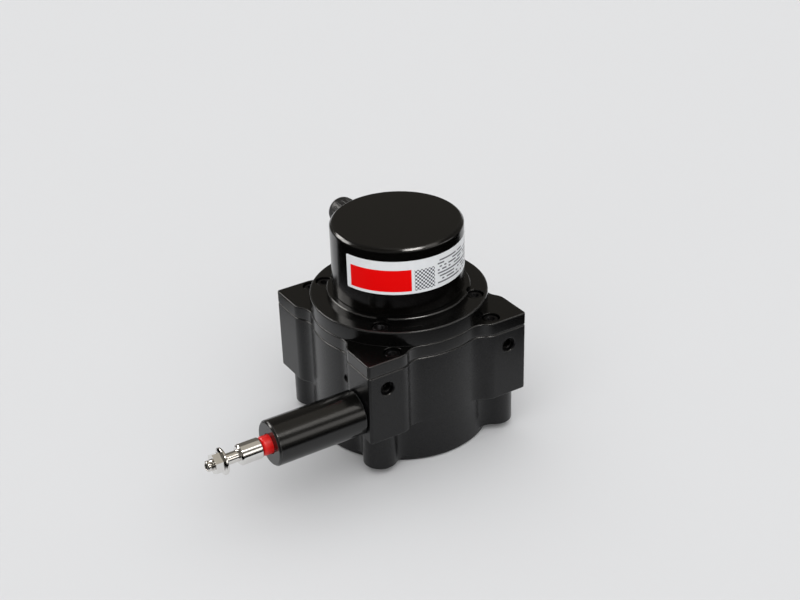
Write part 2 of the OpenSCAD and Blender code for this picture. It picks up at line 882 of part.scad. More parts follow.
module wound_wire() {
  rings = floor(wire_turns * wind_steps) + 1;
  points = [for (i = [0:rings - 1], k = [0:wind_sides - 1]) wind_point(i, k)];
  sides = [for (i = [0:rings - 2], k = [0:wind_sides - 1])
    let(a = i * wind_sides + k, b = i * wind_sides + (k + 1) % wind_sides)
    [a, b, b + wind_sides, a + wind_sides]];
  caps = [
    [for (k = [wind_sides - 1:-1:0]) k],
    [for (k = [0:wind_sides - 1]) (rings - 1) * wind_sides + k]
  ];
  color([0.7, 0.71, 0.74])
  polyhedron(points, concat(sides, caps));
}

// Straight round bar between two points
module bar(p, q, r) {
  d = q - p;
  translate(p)
    rotate([0, acos(d[2] / norm(d)), atan2(d[1], d[0])])
      cylinder(r = r, h = norm(d), $fn = 24);
}

module wire_run() {
  start = [0, exit_y, wind_z];
  bend = [-guide_x, exit_y, exit_z];
  crimp = [-(ferrule_end - stud_seat - 0.3), exit_y, exit_z];
  color([0.72, 0.73, 0.76])
  union() {
    bar(start + (bend - start) / norm(bend - start) * 0.3, bend, 0.95 * wire_r);
    bar(bend + [0.1, 0, 0], crimp, wire_r);
    bar(crimp + [bead_len, 0, 0], crimp, bead_r);
  }
}

module nozzle_tube() {
  color([0.08, 0.08, 0.09])
  along_exit()
    rotate_extrude()
      polygon([[guide_r, face_x - spigot_len], [spigot_r, face_x - spigot_len], [spigot_r, face_x],
               [nozzle_r - nozzle_chamfer, face_x], [nozzle_r, face_x + nozzle_chamfer],
               [nozzle_r, mouth_x - nozzle_chamfer], [nozzle_r - nozzle_chamfer, mouth_x],
               [recess_r, mouth_x], [recess_r, felt_x], [passage_r, felt_x],
               [passage_r, guide_x + guide_len], [guide_r, guide_x + guide_len]]);
}

module guide_bush() {
  color([0.85, 0.8, 0.62])
  along_exit()
    rotate_extrude()
      polygon([[wire_r + wire_gap + 1.6, guide_x], [guide_r, guide_x], [guide_r, guide_x + guide_len],
               [wire_r + wire_gap, guide_x + guide_len], [wire_r + wire_gap, guide_x + 2.5]]);
}

module wiper_felt() {
  color([0.9, 0.88, 0.82])
  along_exit()
    translate([0, 0, felt_x])
      rotate_extrude()
        translate([wire_r + wire_gap, 0])
          square([buffer_r - wire_r - wire_gap, felt_len]);
}

module buffer() {
  color([0.85, 0.05, 0.04])
  along_exit()
    translate([0, 0, felt_x + felt_len])
      rotate_extrude()
        polygon([[wire_r + 2 * wire_gap, 0], [buffer_r, 0], [buffer_r, buffer_in + buffer_out - 0.4],
                 [buffer_r - 0.4, buffer_in + buffer_out], [wire_r + 2 * wire_gap, buffer_in + buffer_out]]);
}

module ferrule() {
  inner = ferrule_end - stud_seat - 0.3 - bead_len;
  color([0.85, 0.86, 0.87])
  along_exit()
    rotate_extrude()
      polygon([[wire_r, ferrule_x], [ferrule_r - 0.5, ferrule_x], [ferrule_r, ferrule_x + 0.5],
               [ferrule_r, ferrule_end - 0.8], [ferrule_r - 0.8, ferrule_end], [stud_r, ferrule_end],
               [stud_r, inner], [wire_r, inner]]);
}

module end_stud() {
  color([0.82, 0.83, 0.84])
  along_exit()
    rotate_extrude()
      polygon([[0, ferrule_end - stud_seat], [stud_r, ferrule_end - stud_seat], [stud_r, stud_tip - 0.5],
               [stud_r - 0.5, stud_tip], [tip_hole_r, stud_tip], [tip_hole_r, stud_tip - 4],
               [0, stud_tip - 4]]);
}

module flange_nut() {
  color([0.85, 0.86, 0.87])
  along_exit()
    difference() {
      union() {
        translate([0, 0, nut_x])
          cylinder(r = nut_flange_r, h = 0.9);
        translate([0, 0, nut_x + 0.9])
          cylinder(r1 = nut_flange_r, r2 = nut_af / 2 + 0.2, h = 0.8);
        translate([0, 0, nut_x + 0.5])
          cylinder(r = nut_af / sqrt(3), h = nut_h - 0.5, $fn = 6);
      }
      translate([0, 0, nut_x - cut])
        cylinder(r = stud_r, h = nut_h + 2 * cut);
    }
}

module encoder_base() {
  color([0.1, 0.1, 0.11])
  difference() {
    union() {
      translate([0, 0, rim_z - pilot_h])
        cylinder(r = pilot_r, h = pilot_h);
      translate([0, 0, rim_z])
        bevelled_disc(rim_r, rim_t, edge_chamfer / 2);
      translate([0, 0, can_z])
        cylinder(r = barrel_r, h = barrel_h);
      translate([0, 0, rim_z])
        cylinder(r = base_hub_r, h = base_hub_top - rim_z);
    }
    translate([0, 0, rim_z - pilot_h - cut])
      cylinder(r = encoder_bearing_r - 1.2, h = base_hub_top);
    translate([0, 0, base_hub_top - encoder_bearing_w])
      cylinder(r = encoder_bearing_r, h = encoder_bearing_w + cut);
    translate([0, 0, base_bearing_z - cut - pilot_h])
      cylinder(r = encoder_bearing_r, h = encoder_bearing_w + cut + pilot_h);
    translate([0, 0, can_z + barrel_h / 2])
      rotate_extrude()
        translate([can_inner_r - 2 * seal_r, -seal_r])
          square([2 * seal_r + cut, 2 * seal_r]);
    flange_screw_places()
      translate([0, 0, rim_z - cut])
        cylinder(r = screw_head_r + screw_gap, h = rim_t + 2 * cut);
    mount_screw_places()
      translate([0, 0, rim_z - cut])
        cylinder(r = mount_screw_r, h = rim_t + barrel_h - 1 + cut);
  }
}

module encoder_mount_screws() {
  color([0.6, 0.6, 0.62])
  mount_screw_places()
    translate([0, 0, flange_z + mount_head_h + 0.3])
      mirror([0, 0, 1])
        socket_screw(mount_screw_r, flange_t - mount_head_h - 0.3 + rim_t + barrel_h - 2, mount_head_r,
                     mount_head_h, 2.5);
}

module encoder_bearing_outers() {
  color([0.75, 0.76, 0.78])
  encoder_bearing_places()
    bearing_outer(encoder_shaft_r, encoder_bearing_r, encoder_bearing_w);
}

module encoder_bearing_inners() {
  color([0.75, 0.76, 0.78])
  encoder_bearing_places()
    bearing_inner(encoder_shaft_r, encoder_bearing_r, encoder_bearing_w);
}

module encoder_bearing_balls() {
  color([0.85, 0.86, 0.88])
  encoder_bearing_places()
    bearing_balls(encoder_shaft_r, encoder_bearing_r, encoder_bearing_w);
}

module encoder_shaft() {
  low = shaft_top - socket_depth + 0.5;
  color([0.72, 0.73, 0.75])
  translate([0, 0, low])
    cylinder(r = encoder_shaft_r, h = disc_z + disc_t + clamp_disc_t + 0.5 - low);
}

module disc_hub() {
  top = disc_hub_h + disc_t;
  color([0.7, 0.71, 0.73])
  translate([0, 0, base_hub_top])
    rotate_extrude()
      polygon([[encoder_shaft_r, 0], [encoder_shaft_r + 1, 0], [encoder_shaft_r + 1, hub_seat_h],
               [0.7 * disc_hub_r, hub_seat_h], [disc_hub_r, 0.75 * disc_hub_h], [disc_hub_r, disc_hub_h],
               [disc_bore_r, disc_hub_h], [disc_bore_r, top], [encoder_shaft_r, top]]);
}

module code_disc() {
  color([0.75, 0.8, 0.85])
  translate([0, 0, disc_z])
    difference() {
      cylinder(r = disc_r, h = disc_t);
      translate([0, 0, -cut])
        cylinder(r = disc_bore_r, h = disc_t + 2 * cut);
    }
}

module disc_clamp() {
  color([0.7, 0.71, 0.73])
  translate([0, 0, disc_z + disc_t])
    difference() {
      bevelled_disc(disc_hub_r - 1, clamp_disc_t, 0.4);
      translate([0, 0, -cut])
        cylinder(r = encoder_shaft_r, h = clamp_disc_t + 2 * cut);
    }
}

module read_head() {
  back = disc_r + run_gap;
  outside = back + head_wall;
  arm = disc_r - head_reach;
  color([0.12, 0.12, 0.13])
  translate([0, head_w / 2, 0])
    rotate([90, 0, 0])
      linear_extrude(head_w)
        polygon([[-outside, disc_z - head_gap - head_wall], [-arm, disc_z - head_gap - head_wall],
                 [-arm, disc_z - head_gap], [-back, disc_z - head_gap],
                 [-back, disc_z + disc_t + head_gap], [-arm, disc_z + disc_t + head_gap],
                 [-arm, board_z], [-outside, board_z]]);
}

module circuit_board() {
  color([0.05, 0.3, 0.15])
  translate([0, 0, board_z])
    difference() {
      cylinder(r = board_r, h = board_t);
      post_places()
        translate([0, 0, -cut])
          cylinder(r = post_screw_r + screw_gap, h = board_t + 2 * cut);
    }
}

module board_components() {
  color([0.1, 0.1, 0.1])
  translate([0, 0, board_z + board_t]) {
    translate([-chip[0] / 2, -chip[1] / 2, 0])
      cube(chip);
    translate([chip[0], -1.2 * chip[1], 0])
      cube(driver_chip);
    translate([-1.6 * chip[0], chip[1] / 2, 0])
      cube(memory_chip);
    translate([-connector[0] / 2, 1.2 * chip[1], 0])
      cube(connector);
    translate([1.1 * chip[0], chip[1] / 2, 0])
      cylinder(r = capacitor_r, h = connector[2]);
  }
}

module board_posts() {
  color([0.75, 0.7, 0.4])
  post_places()
    translate([0, 0, can_z + barrel_h])
      difference() {
        cylinder(r = post_r, h = board_z - can_z - barrel_h);
        translate([0, 0, board_z - can_z - barrel_h - post_hole_depth])
          cylinder(r = post_screw_r, h = post_hole_depth + cut);
      }
}

module board_screws() {
  color([0.7, 0.7, 0.72])
  post_places()
    translate([0, 0, board_z + board_t])
      socket_screw(post_screw_r, board_t + post_hole_depth - 1, post_r - 0.1, 1.4, 1.5 * post_screw_r);
}

module encoder_seal() {
  color([0.04, 0.04, 0.04])
  translate([0, 0, can_z + barrel_h / 2])
    rotate_extrude()
      translate([can_inner_r - seal_r, 0])
        circle(r = seal_r, $fn = 32);
}

module encoder_cover() {
  color([0.09, 0.09, 0.1])
  difference() {
    union() {
      translate([0, 0, can_z])
        bevelled_disc(can_r, can_h, can_bevel);
      translate([0, 0, gland_z])
        rotate([-90, 0, 0])
          cylinder(r = gland_boss_r, h = gland_seat_y);
    }
    translate([0, 0, can_z - cut])
      cylinder(r = can_inner_r, h = can_h - 2 + cut);
    translate([0, can_inner_r / 2, gland_z])
      rotate([-90, 0, 0])
        cylinder(r = gland_thread_r, h = can_r);
  }
}

// Turns the children so that their +Z axis points along +Y on the gland's axis
module along_gland() {
  translate([0, 0, gland_z])
    rotate([-90, 0, 0])
      children();
}

module gland_body() {
  color([0.07, 0.07, 0.08])
  along_gland()
    difference() {
      union() {
        translate([0, 0, gland_in_y])
          cylinder(r = gland_thread_r, h = gland_seat_y - gland_in_y + 0.5);
        translate([0, 0, gland_seat_y])
          cylinder(r = gland_af / sqrt(3), h = gland_collar_t, $fn = 6);
        translate([0, 0, gland_seat_y])
          cylinder(r = gland_neck_r, h = gland_collar_t + gland_neck_len);
      }
      translate([0, 0, gland_in_y - cut])
        cylinder(r = gland_hole_r + 0.8, h = can_r);
      translate([0, 0, gland_seat_y + gland_collar_t])
        cylinder(r = gland_seal_r, h = gland_neck_len + cut);
    }
}

module gland_seal() {
  color([0.05, 0.05, 0.05])
  along_gland()
    translate([0, 0, gland_seat_y + gland_collar_t])
      difference() {
        cylinder(r = gland_seal_r - fit_gap, h = gland_seal_len);
        translate([0, 0, -cut])
          cylinder(r = gland_hole_r, h = gland_seal_len + 2 * cut);
      }
}

module gland_nut() {
  outer_r = gland_nut_r - gland_rib_r / 2;
  body = gland_nut_len - gland_dome;
  color([0.06, 0.06, 0.07])
  along_gland()
    translate([0, 0, gland_nut_y])
      difference() {
        union() {
          cylinder(r = outer_r, h = body);
          for (i = [0:gland_ribs - 1])
            rotate([0, 0, 360 / gland_ribs * i])
              translate([gland_nut_r - gland_rib_r, 0, 0.4])
                cylinder(r = gland_rib_r, h = body - 0.8, $fn = 24);
          translate([0, 0, body])
            rotate_extrude()
              intersection() {
                translate([outer_r - gland_dome, 0])
                  circle(r = gland_dome);
                square([outer_r, gland_dome]);
              }
          translate([0, 0, body])
            cylinder(r = outer_r - gland_dome, h = gland_dome);
        }
        translate([0, 0, -cut])
          cylinder(r = gland_neck_r + fit_gap, h = gland_neck_len + cut);
        translate([0, 0, -cut])
          cylinder(r = gland_seal_r, h = gland_seal_len + cut);
        cylinder(r = gland_hole_r, h = gland_nut_len + cut);
      }
}

module label() {
  color([0.93, 0.93, 0.92])
  translate([0, 0, label_z])
    rotate([0, 0, label_start])
      rotate_extrude(angle = label_sweep)
        translate([can_r, 0])
          square([label_t, label_h]);
}

housing();
cover_gasket();
cover_plate();
cover_screws();
adapter_flange();
flange_screws();
side_set_screw();
drum_bearing_outers();
drum_bearing_inners();
drum_bearing_balls();
power_spring();
spring_arbor();
spring_cover();
spring_cover_screws();
cable_drum();
drum_shaft();
drum_pin();
clamp_ring();
clamp_screw();
bearing_spacer();
wound_wire();
wire_run();
nozzle_tube();
guide_bush();
wiper_felt();
buffer();
ferrule();
end_stud();
flange_nut();
encoder_base();
encoder_mount_screws();
encoder_bearing_outers();
encoder_bearing_inners();
encoder_bearing_balls();
encoder_shaft();
disc_hub();
code_disc();
disc_clamp();
read_head();
circuit_board();
board_components();
board_posts();
board_screws();
encoder_seal();
encoder_cover();
gland_body();
gland_seal();
gland_nut();
label();
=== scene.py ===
# %% [markdown]
# # Draw wire encoder
# This sensor measures how far its steel wire is pulled out. A spring winds the wire on a drum in the
# square housing, and the drum turns the encoder in the round can on top.
# The CAD model gives every size, joint and fit. This file dresses it: it builds finer outsides over the
# CAD solids, gives every piece a finish, and lights it. All lengths are in metres, in the CAD's frame.

# %% Load the frame
import json
import math

import bmesh
import bpy
from mathutils import Matrix, Vector


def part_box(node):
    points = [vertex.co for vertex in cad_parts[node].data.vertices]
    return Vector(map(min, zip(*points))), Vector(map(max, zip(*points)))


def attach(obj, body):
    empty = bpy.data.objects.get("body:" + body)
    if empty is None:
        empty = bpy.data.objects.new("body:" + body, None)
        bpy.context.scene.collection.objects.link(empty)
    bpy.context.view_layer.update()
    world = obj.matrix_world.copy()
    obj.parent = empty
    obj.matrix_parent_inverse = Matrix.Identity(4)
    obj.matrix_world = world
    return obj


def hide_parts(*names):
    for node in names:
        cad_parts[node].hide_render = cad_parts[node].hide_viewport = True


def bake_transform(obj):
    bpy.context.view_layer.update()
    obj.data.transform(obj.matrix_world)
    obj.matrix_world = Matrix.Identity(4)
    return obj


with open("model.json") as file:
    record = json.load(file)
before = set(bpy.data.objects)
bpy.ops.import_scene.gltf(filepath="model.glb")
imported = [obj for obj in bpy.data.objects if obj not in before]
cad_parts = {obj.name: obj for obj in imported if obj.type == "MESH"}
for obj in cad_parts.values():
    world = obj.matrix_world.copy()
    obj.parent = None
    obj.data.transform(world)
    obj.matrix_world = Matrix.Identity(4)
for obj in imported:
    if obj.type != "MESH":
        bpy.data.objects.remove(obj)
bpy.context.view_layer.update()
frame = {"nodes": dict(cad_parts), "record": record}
mm = 0.001

# %% [markdown]
# ## Sizes
# Each CAD node's box says where its outside lies, so the dressed pieces follow when the model is packed
# again. What a box can't tell, such as a corner's radius, a chamfer or where the label's print begins, is
# judged or taken from usual sizes, and is written as a value beside the piece that uses it.

# %% Levels and radii from the CAD boxes
housing_low, housing_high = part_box("housing")
cover_low, cover_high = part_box("cover_plate")
flange_low, flange_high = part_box("adapter_flange")
can_low, can_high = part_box("encoder_cover")
nozzle_low, nozzle_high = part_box("nozzle_tube")

half_side = housing_high.x
seam_z = housing_high.z
cover_z, cover_top = cover_low.z, cover_high.z
flange_r, rim_z = flange_high.x, flange_high.z
can_r, can_z, can_top = -can_low.x, can_low.z, can_high.z
wire_y = (nozzle_low.y + nozzle_high.y) / 2
wire_z = (nozzle_low.z + nozzle_high.z) / 2
nozzle_r = (nozzle_high.z - nozzle_low.z) / 2
mouth_x = -nozzle_low.x
gland_z = (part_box("gland_nut")[0].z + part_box("gland_nut")[1].z) / 2
print("seam", round(seam_z / mm, 2), "can", round(can_r / mm, 2), "wire at", round(wire_y / mm, 2),
      round(wire_z / mm, 2))

# %% [markdown]
# ## The camera
# A long lens from the front left and well above: one sees two sides of the housing, the can's lid and
# the whole nozzle. The camera is placed by azimuth, elevation and distance round a point on the axis.

# %% Camera
azimuth, elevation, roll = math.radians(-31.2), math.radians(29.44), math.radians(-1.84)
distance = 642.5 * mm
look_at = Vector((0.29 * mm, -0.375 * mm, cover_top + 0.695 * mm))
back = Vector((math.sin(azimuth) * math.cos(elevation), -math.cos(azimuth) * math.cos(elevation),
               math.sin(elevation)))
camera_data = bpy.data.cameras.new("camera")
camera_data.lens, camera_data.sensor_width = 65.45, 36
camera_data.clip_start, camera_data.clip_end = 0.01, 20
camera = bpy.data.objects.new("camera", camera_data)
bpy.context.scene.collection.objects.link(camera)
camera.rotation_mode = "QUATERNION"
camera.rotation_quaternion = (-back).to_track_quat("-Z", "Y") @ Matrix.Rotation(roll, 3, "Z").to_quaternion()
camera.location = look_at + back * distance
bpy.context.scene.camera = camera
print("camera at", [round(x, 3) for x in camera.location])

# %% [markdown]
# ## Helpers for finishes
# A finish is a node tree on a Principled shader. These helpers keep each recipe short: one makes a node
# and sets its inputs, one gives a noise in object space, and one turns a height into a bump.

# %% Node helpers
def new_finish(name, colour, metallic, roughness):
    finish = bpy.data.materials.new(name)
    finish.use_nodes = True
    shader = finish.node_tree.nodes["Principled BSDF"]
    shader.inputs["Base Color"].default_value = (*colour, 1)
    shader.inputs["Metallic"].default_value = metallic
    shader.inputs["Roughness"].default_value = roughness
    return finish, finish.node_tree, shader


def add(tree, kind, settings=None, **inputs):
    made = tree.nodes.new(kind)
    for key, value in (settings or {}).items():
        setattr(made, key, value)
    for key, value in inputs.items():
        socket = made.inputs[key.replace("_", " ")]
        if isinstance(value, bpy.types.NodeSocket):
            tree.links.new(value, socket)
        else:
            socket.default_value = value
    return made


def math_node(tree, operation, *values):
    made = tree.nodes.new("ShaderNodeMath")
    made.operation = operation
    for socket, value in zip(made.inputs, values):
        if isinstance(value, bpy.types.NodeSocket):
            tree.links.new(value, socket)
        else:
            socket.default_value = value
    return made.outputs[0]


def object_noise(tree, scale, stretch=(1, 1, 1), detail=4.0):
    coordinates = tree.nodes.new("ShaderNodeTexCoord").outputs["Object"]
    mapped = add(tree, "ShaderNodeMapping", Vector=coordinates, Scale=stretch)
    return add(tree, "ShaderNodeTexNoise", Vector=mapped.outputs[0], Scale=scale, Detail=detail).outputs["Fac"]


def ramp(tree, factor, low, high, low_value, high_value):
    made = add(tree, "ShaderNodeMapRange", Value=factor, From_Min=low, From_Max=high, To_Min=low_value,
               To_Max=high_value)
    return made.outputs[0]


def tint(tree, factor, dark, light):
    made = tree.nodes.new("ShaderNodeMix")
    made.data_type = "RGBA"
    tree.links.new(factor, made.inputs[0])
    made.inputs[6].default_value = (*dark, 1)
    made.inputs[7].default_value = (*light, 1)
    return made.outputs[2]


def bump(tree, shader, height, strength, depth):
    made = add(tree, "ShaderNodeBump", Height=height, Strength=strength, Distance=depth)
    tree.links.new(made.outputs[0], shader.inputs["Normal"])


print("node helpers ready")

# %% [markdown]
# ## Black anodised aluminium
# Housing, cover, flange, can and nozzle are aluminium, milled or turned and then anodised black. The
# oxide is a hard, dyed skin with a satin grain from blasting, and handling polishes it a little on the
# edges. So the colour stays nearly black, a fine noise roughens it, a slower one clouds it, and the edge
# attribute that the pieces carry makes chamfers a touch smoother and lighter.

# %% Anodised finishes
def anodised(name, dark, light, roughness, grain, marks=(1, 1, 1), worn=0.04):
    finish, tree, shader = new_finish(name, dark, 0.0, roughness)
    fine = object_noise(tree, grain, marks, 6)
    cloud = object_noise(tree, 60, (1, 1, 1), 3)
    edge = add(tree, "ShaderNodeAttribute", {"attribute_name": "edge"}).outputs["Fac"]
    colour = tint(tree, cloud, dark, light)
    lit = tree.nodes.new("ShaderNodeMix")
    lit.data_type = "RGBA"
    tree.links.new(math_node(tree, "MULTIPLY", edge, ramp(tree, fine, 0.35, 0.65, 0.2, 0.7)), lit.inputs[0])
    tree.links.new(colour, lit.inputs[6])
    lit.inputs[7].default_value = (worn, worn, worn, 1)
    tree.links.new(lit.outputs[2], shader.inputs["Base Color"])
    grainy = ramp(tree, fine, 0.3, 0.7, roughness - 0.04, roughness + 0.04)
    tree.links.new(math_node(tree, "SUBTRACT", grainy, math_node(tree, "MULTIPLY", edge, 0.05)),
                   shader.inputs["Roughness"])
    bump(tree, shader, fine, 0.12, 0.00001)
    return finish


housing_black = anodised("housing_black", (0.0012, 0.0012, 0.0015), (0.0024, 0.0024, 0.003), 0.29, 2600)
housing_black.node_tree.nodes["Principled BSDF"].inputs["Specular IOR Level"].default_value = 0.39
cover_black = anodised("cover_black", (0.0008, 0.0008, 0.0008), (0.0015, 0.0015, 0.0014), 0.20, 2600)
flange_black = anodised("flange_black", (0.001, 0.001, 0.001), (0.002, 0.002, 0.002), 0.20, 3000)
base_black = anodised("base_black", (0.001, 0.001, 0.001), (0.0016, 0.0016, 0.0016), 0.20, 3000)
can_black = anodised("can_black", (0.001, 0.0009, 0.0008), (0.0018, 0.0016, 0.0014), 0.18, 2200, worn=0.008)
nozzle_black = anodised("nozzle_black", (0.0015, 0.0015, 0.0015), (0.0025, 0.0024, 0.0022), 0.19, 3200,
                        (12, 1, 1))
print("anodised finishes", 6)

# %% [markdown]
# ## Bare metals
# Turned parts carry fine rings round their axis, ground parts are almost plain, and rolled strip is
# blued. One recipe covers them: a metal whose noise is stretched so that its marks run the right way.

# %% Metal finishes
def bare_metal(name, dark, light, roughness, scale, stretch, depth=0.00001):
    finish, tree, shader = new_finish(name, light, 1.0, roughness)
    marks = object_noise(tree, scale, stretch, 5)
    tree.links.new(tint(tree, marks, dark, light), shader.inputs["Base Color"])
    tree.links.new(ramp(tree, marks, 0.3, 0.7, roughness * 0.7, roughness * 1.3), shader.inputs["Roughness"])
    bump(tree, shader, marks, 0.3, depth)
    return finish


nickel = bare_metal("nickel", (0.76, 0.75, 0.73), (0.84, 0.83, 0.81), 0.10, 120, (30, 1, 1), 0.0000004)
thread_metal = bare_metal("thread_metal", (0.68, 0.66, 0.63), (0.84, 0.82, 0.79), 0.16, 200, (20, 1, 1),
                          0.000001)
screw_black = bare_metal("screw_black", (0.022, 0.022, 0.024), (0.042, 0.042, 0.045), 0.36, 1800, (1, 1, 1),
                         0.00001)
set_screw_steel = bare_metal("set_screw_steel", (0.16, 0.16, 0.17), (0.3, 0.3, 0.31), 0.35, 900, (1, 1, 1))
inner_screw_steel = bare_metal("inner_screw_steel", (0.5, 0.5, 0.5), (0.68, 0.68, 0.69), 0.28, 900, (1, 1, 1))
bearing_steel = bare_metal("bearing_steel", (0.6, 0.6, 0.61), (0.74, 0.74, 0.75), 0.16, 500, (1, 1, 14))
ball_steel = bare_metal("ball_steel", (0.78, 0.78, 0.79), (0.86, 0.86, 0.87), 0.06, 700, (1, 1, 1), 0.000002)
spring_steel = bare_metal("spring_steel", (0.22, 0.25, 0.3), (0.42, 0.44, 0.46), 0.24, 220, (1, 1, 16))
plate_steel = bare_metal("plate_steel", (0.5, 0.5, 0.5), (0.66, 0.66, 0.65), 0.3, 260, (14, 1, 1))
bare_aluminium = bare_metal("bare_aluminium", (0.68, 0.68, 0.69), (0.82, 0.82, 0.83), 0.26, 240, (1, 1, 20))
shaft_steel = bare_metal("shaft_steel", (0.6, 0.6, 0.61), (0.74, 0.74, 0.75), 0.18, 320, (1, 1, 18))
wire_steel = bare_metal("wire_steel", (0.5, 0.5, 0.51), (0.74, 0.74, 0.75), 0.22, 700, (0.2, 6, 6))
guide_brass = bare_metal("guide_brass", (0.62, 0.45, 0.18), (0.84, 0.66, 0.33), 0.2, 300, (20, 1, 1))
post_brass = bare_metal("post_brass", (0.58, 0.43, 0.18), (0.8, 0.63, 0.32), 0.26, 400, (1, 1, 12))
print("metal finishes", 14)

# %% [markdown]
# ## Rubber, plastic, felt, glass and the board
# Rubber and moulded plastic aren't metals: their colour is in the body and the gloss is a weak skin over
# it. Felt is matt with a fibre noise. The code disc is clear, and the circuit board is green laminate
# with a faint weave.

# %% Soft and moulded finishes
def moulded(name, dark, light, roughness, scale, strength=0.3, depth=0.00003):
    finish, tree, shader = new_finish(name, dark, 0.0, roughness)
    grain = object_noise(tree, scale, (1, 1, 1), 6)
    tree.links.new(tint(tree, grain, dark, light), shader.inputs["Base Color"])
    tree.links.new(ramp(tree, grain, 0.3, 0.7, roughness - 0.07, roughness + 0.07), shader.inputs["Roughness"])
    bump(tree, shader, grain, strength, depth)
    return finish


buffer_red = moulded("buffer_red", (0.60, 0.002, 0.002), (0.78, 0.006, 0.004), 0.36, 900)
gasket_rubber = moulded("gasket_rubber", (0.006, 0.006, 0.006), (0.012, 0.012, 0.012), 0.7, 1500)
seal_rubber = moulded("seal_rubber", (0.008, 0.008, 0.008), (0.014, 0.014, 0.014), 0.5, 1200)
gland_seal_rubber = moulded("gland_seal_rubber", (0.012, 0.012, 0.012), (0.02, 0.02, 0.02), 0.6, 1200)
gland_plastic = moulded("gland_plastic", (0.004, 0.004, 0.0045), (0.009, 0.009, 0.0095), 0.42, 1400)
component_black = moulded("component_black", (0.02, 0.02, 0.02), (0.035, 0.035, 0.035), 0.5, 2000)
felt_white = moulded("felt_white", (0.62, 0.6, 0.55), (0.86, 0.84, 0.79), 0.95, 2600, 0.8, 0.0001)
board_green = moulded("board_green", (0.012, 0.1, 0.045), (0.02, 0.16, 0.07), 0.4, 800)
disc_glass, glass_tree, glass_shader = new_finish("disc_glass", (0.86, 0.9, 0.92), 0.0, 0.05)
glass_shader.inputs["Transmission Weight"].default_value = 0.8
smear = object_noise(glass_tree, 300, (1, 1, 1), 2)
glass_tree.links.new(ramp(glass_tree, smear, 0.3, 0.7, 0.03, 0.09), glass_shader.inputs["Roughness"])
print("moulded finishes", 9)

# %% [markdown]
# ## Finishes on the CAD nodes
# A CAD node whose shape is already right keeps its mesh and only gets its finish. The record names the
# material slot of every node, and the finishes above carry the slots' names, so one loop dresses all.
# Nodes that get a finer outside later are dressed as well, and then hidden by the piece that stands
# for them.

# %% Dress the CAD nodes
finish_of = {part["node"]: part["material_slot"] for part in frame["record"]["subparts"]}
for name, cad_object in frame["nodes"].items():
    finish = bpy.data.materials.get(finish_of[name])
    if finish is not None:
        cad_object.data.materials.clear()
        cad_object.data.materials.append(finish)
print("dressed", sum(1 for n in finish_of.values() if bpy.data.materials.get(n)), "of", len(finish_of))

# %% [markdown]
# ## Helpers for shapes
# Almost everything on this object is either turned on a lathe or a flat outline given a thickness.
# `eased` rounds the corners of a profile, because a real edge is never sharp and catches the light.
# `shell` joins rings of points to a closed skin, and marks the points on eased corners as edges.

# %% Profile and skin helpers
def eased(corners, steps=4):
    """Corners (across, along, ease) to points (across, along, is_edge), each corner rounded by its ease."""
    points = []
    for i, (x, y, ease) in enumerate(corners):
        here = Vector((x, y))
        if ease == 0 or i in (0, len(corners) - 1):
            points.append((x, y, 0.0))
            continue
        sides = [Vector(corners[i - 1][:2]) - here, Vector(corners[i + 1][:2]) - here]
        start, end = [here + side.normalized() * min(ease, side.length * 0.45) for side in sides]
        before, after = [here + side * min(0.49, (ease + 0.25 * mm) / side.length) for side in sides]
        if (before - start).length > 0.02 * mm:
            points.append((before.x, before.y, 0.0))
        for k in range(steps + 1):
            t = k / steps
            point = start * (1 - t) ** 2 + here * 2 * t * (1 - t) + end * t ** 2
            points.append((point.x, point.y, 1.0))
        if (after - end).length > 0.02 * mm:
            points.append((after.x, after.y, 0.0))
    return points


def smoothed(made, sharp):
    """Smooth apart from real edges, with normals weighted by area so that flat faces shade flat."""
    made.data.shade_smooth()
    made.data.set_sharp_from_angle(angle=math.radians(sharp))
    weigh = made.modifiers.new("weigh", "WEIGHTED_NORMAL")
    weigh.keep_sharp = True
    bpy.context.view_layer.update()
    mesh = bpy.data.meshes.new_from_object(made.evaluated_get(bpy.context.evaluated_depsgraph_get()))
    made.modifiers.clear()
    made.data = mesh
    return made


def finished(name, bm, finish, sharp=28):
    """A piece from a bmesh: doubles merged and faces outwards."""
    bmesh.ops.remove_doubles(bm, verts=bm.verts, dist=1e-7)
    bmesh.ops.recalc_face_normals(bm, faces=bm.faces)
    mesh = bpy.data.meshes.new(name)
    bm.to_mesh(mesh)
    bm.free()
    mesh.materials.append(finish)
    made = bpy.data.objects.new(name, mesh)
    bpy.context.scene.collection.objects.link(made)
    return smoothed(made, sharp)


def shell(name, rings, finish, place=Matrix(), closed=False, sharp=28):
    """Rings of (point, is_edge) joined to a skin. A ring of one point is a pole; closed joins last to first."""
    bm = bmesh.new()
    edge = bm.verts.layers.float.new("edge")
    rows = []
    for ring in rings:
        row = []
        for point, is_edge in ring:
            vertex = bm.verts.new(place @ Vector(point))
            vertex[edge] = is_edge
            row.append(vertex)
        rows.append(row)
    pairs = list(zip(rows, rows[1:])) + ([(rows[-1], rows[0])] if closed else [])
    for low, high in pairs:
        count = max(len(low), len(high))
        for i in range(count):
            j = (i + 1) % count
            corners = [low[i % len(low)], low[j % len(low)], high[j % len(high)], high[i % len(high)]]
            face = [v for k, v in enumerate(corners) if v not in corners[:k]]
            if len(face) > 2:
                bm.faces.new(face)
    if not closed:
        for row in (rows[0], rows[-1]):
            if len(row) > 2:
                bm.faces.new(row)
    return finished(name, bm, finish, sharp)


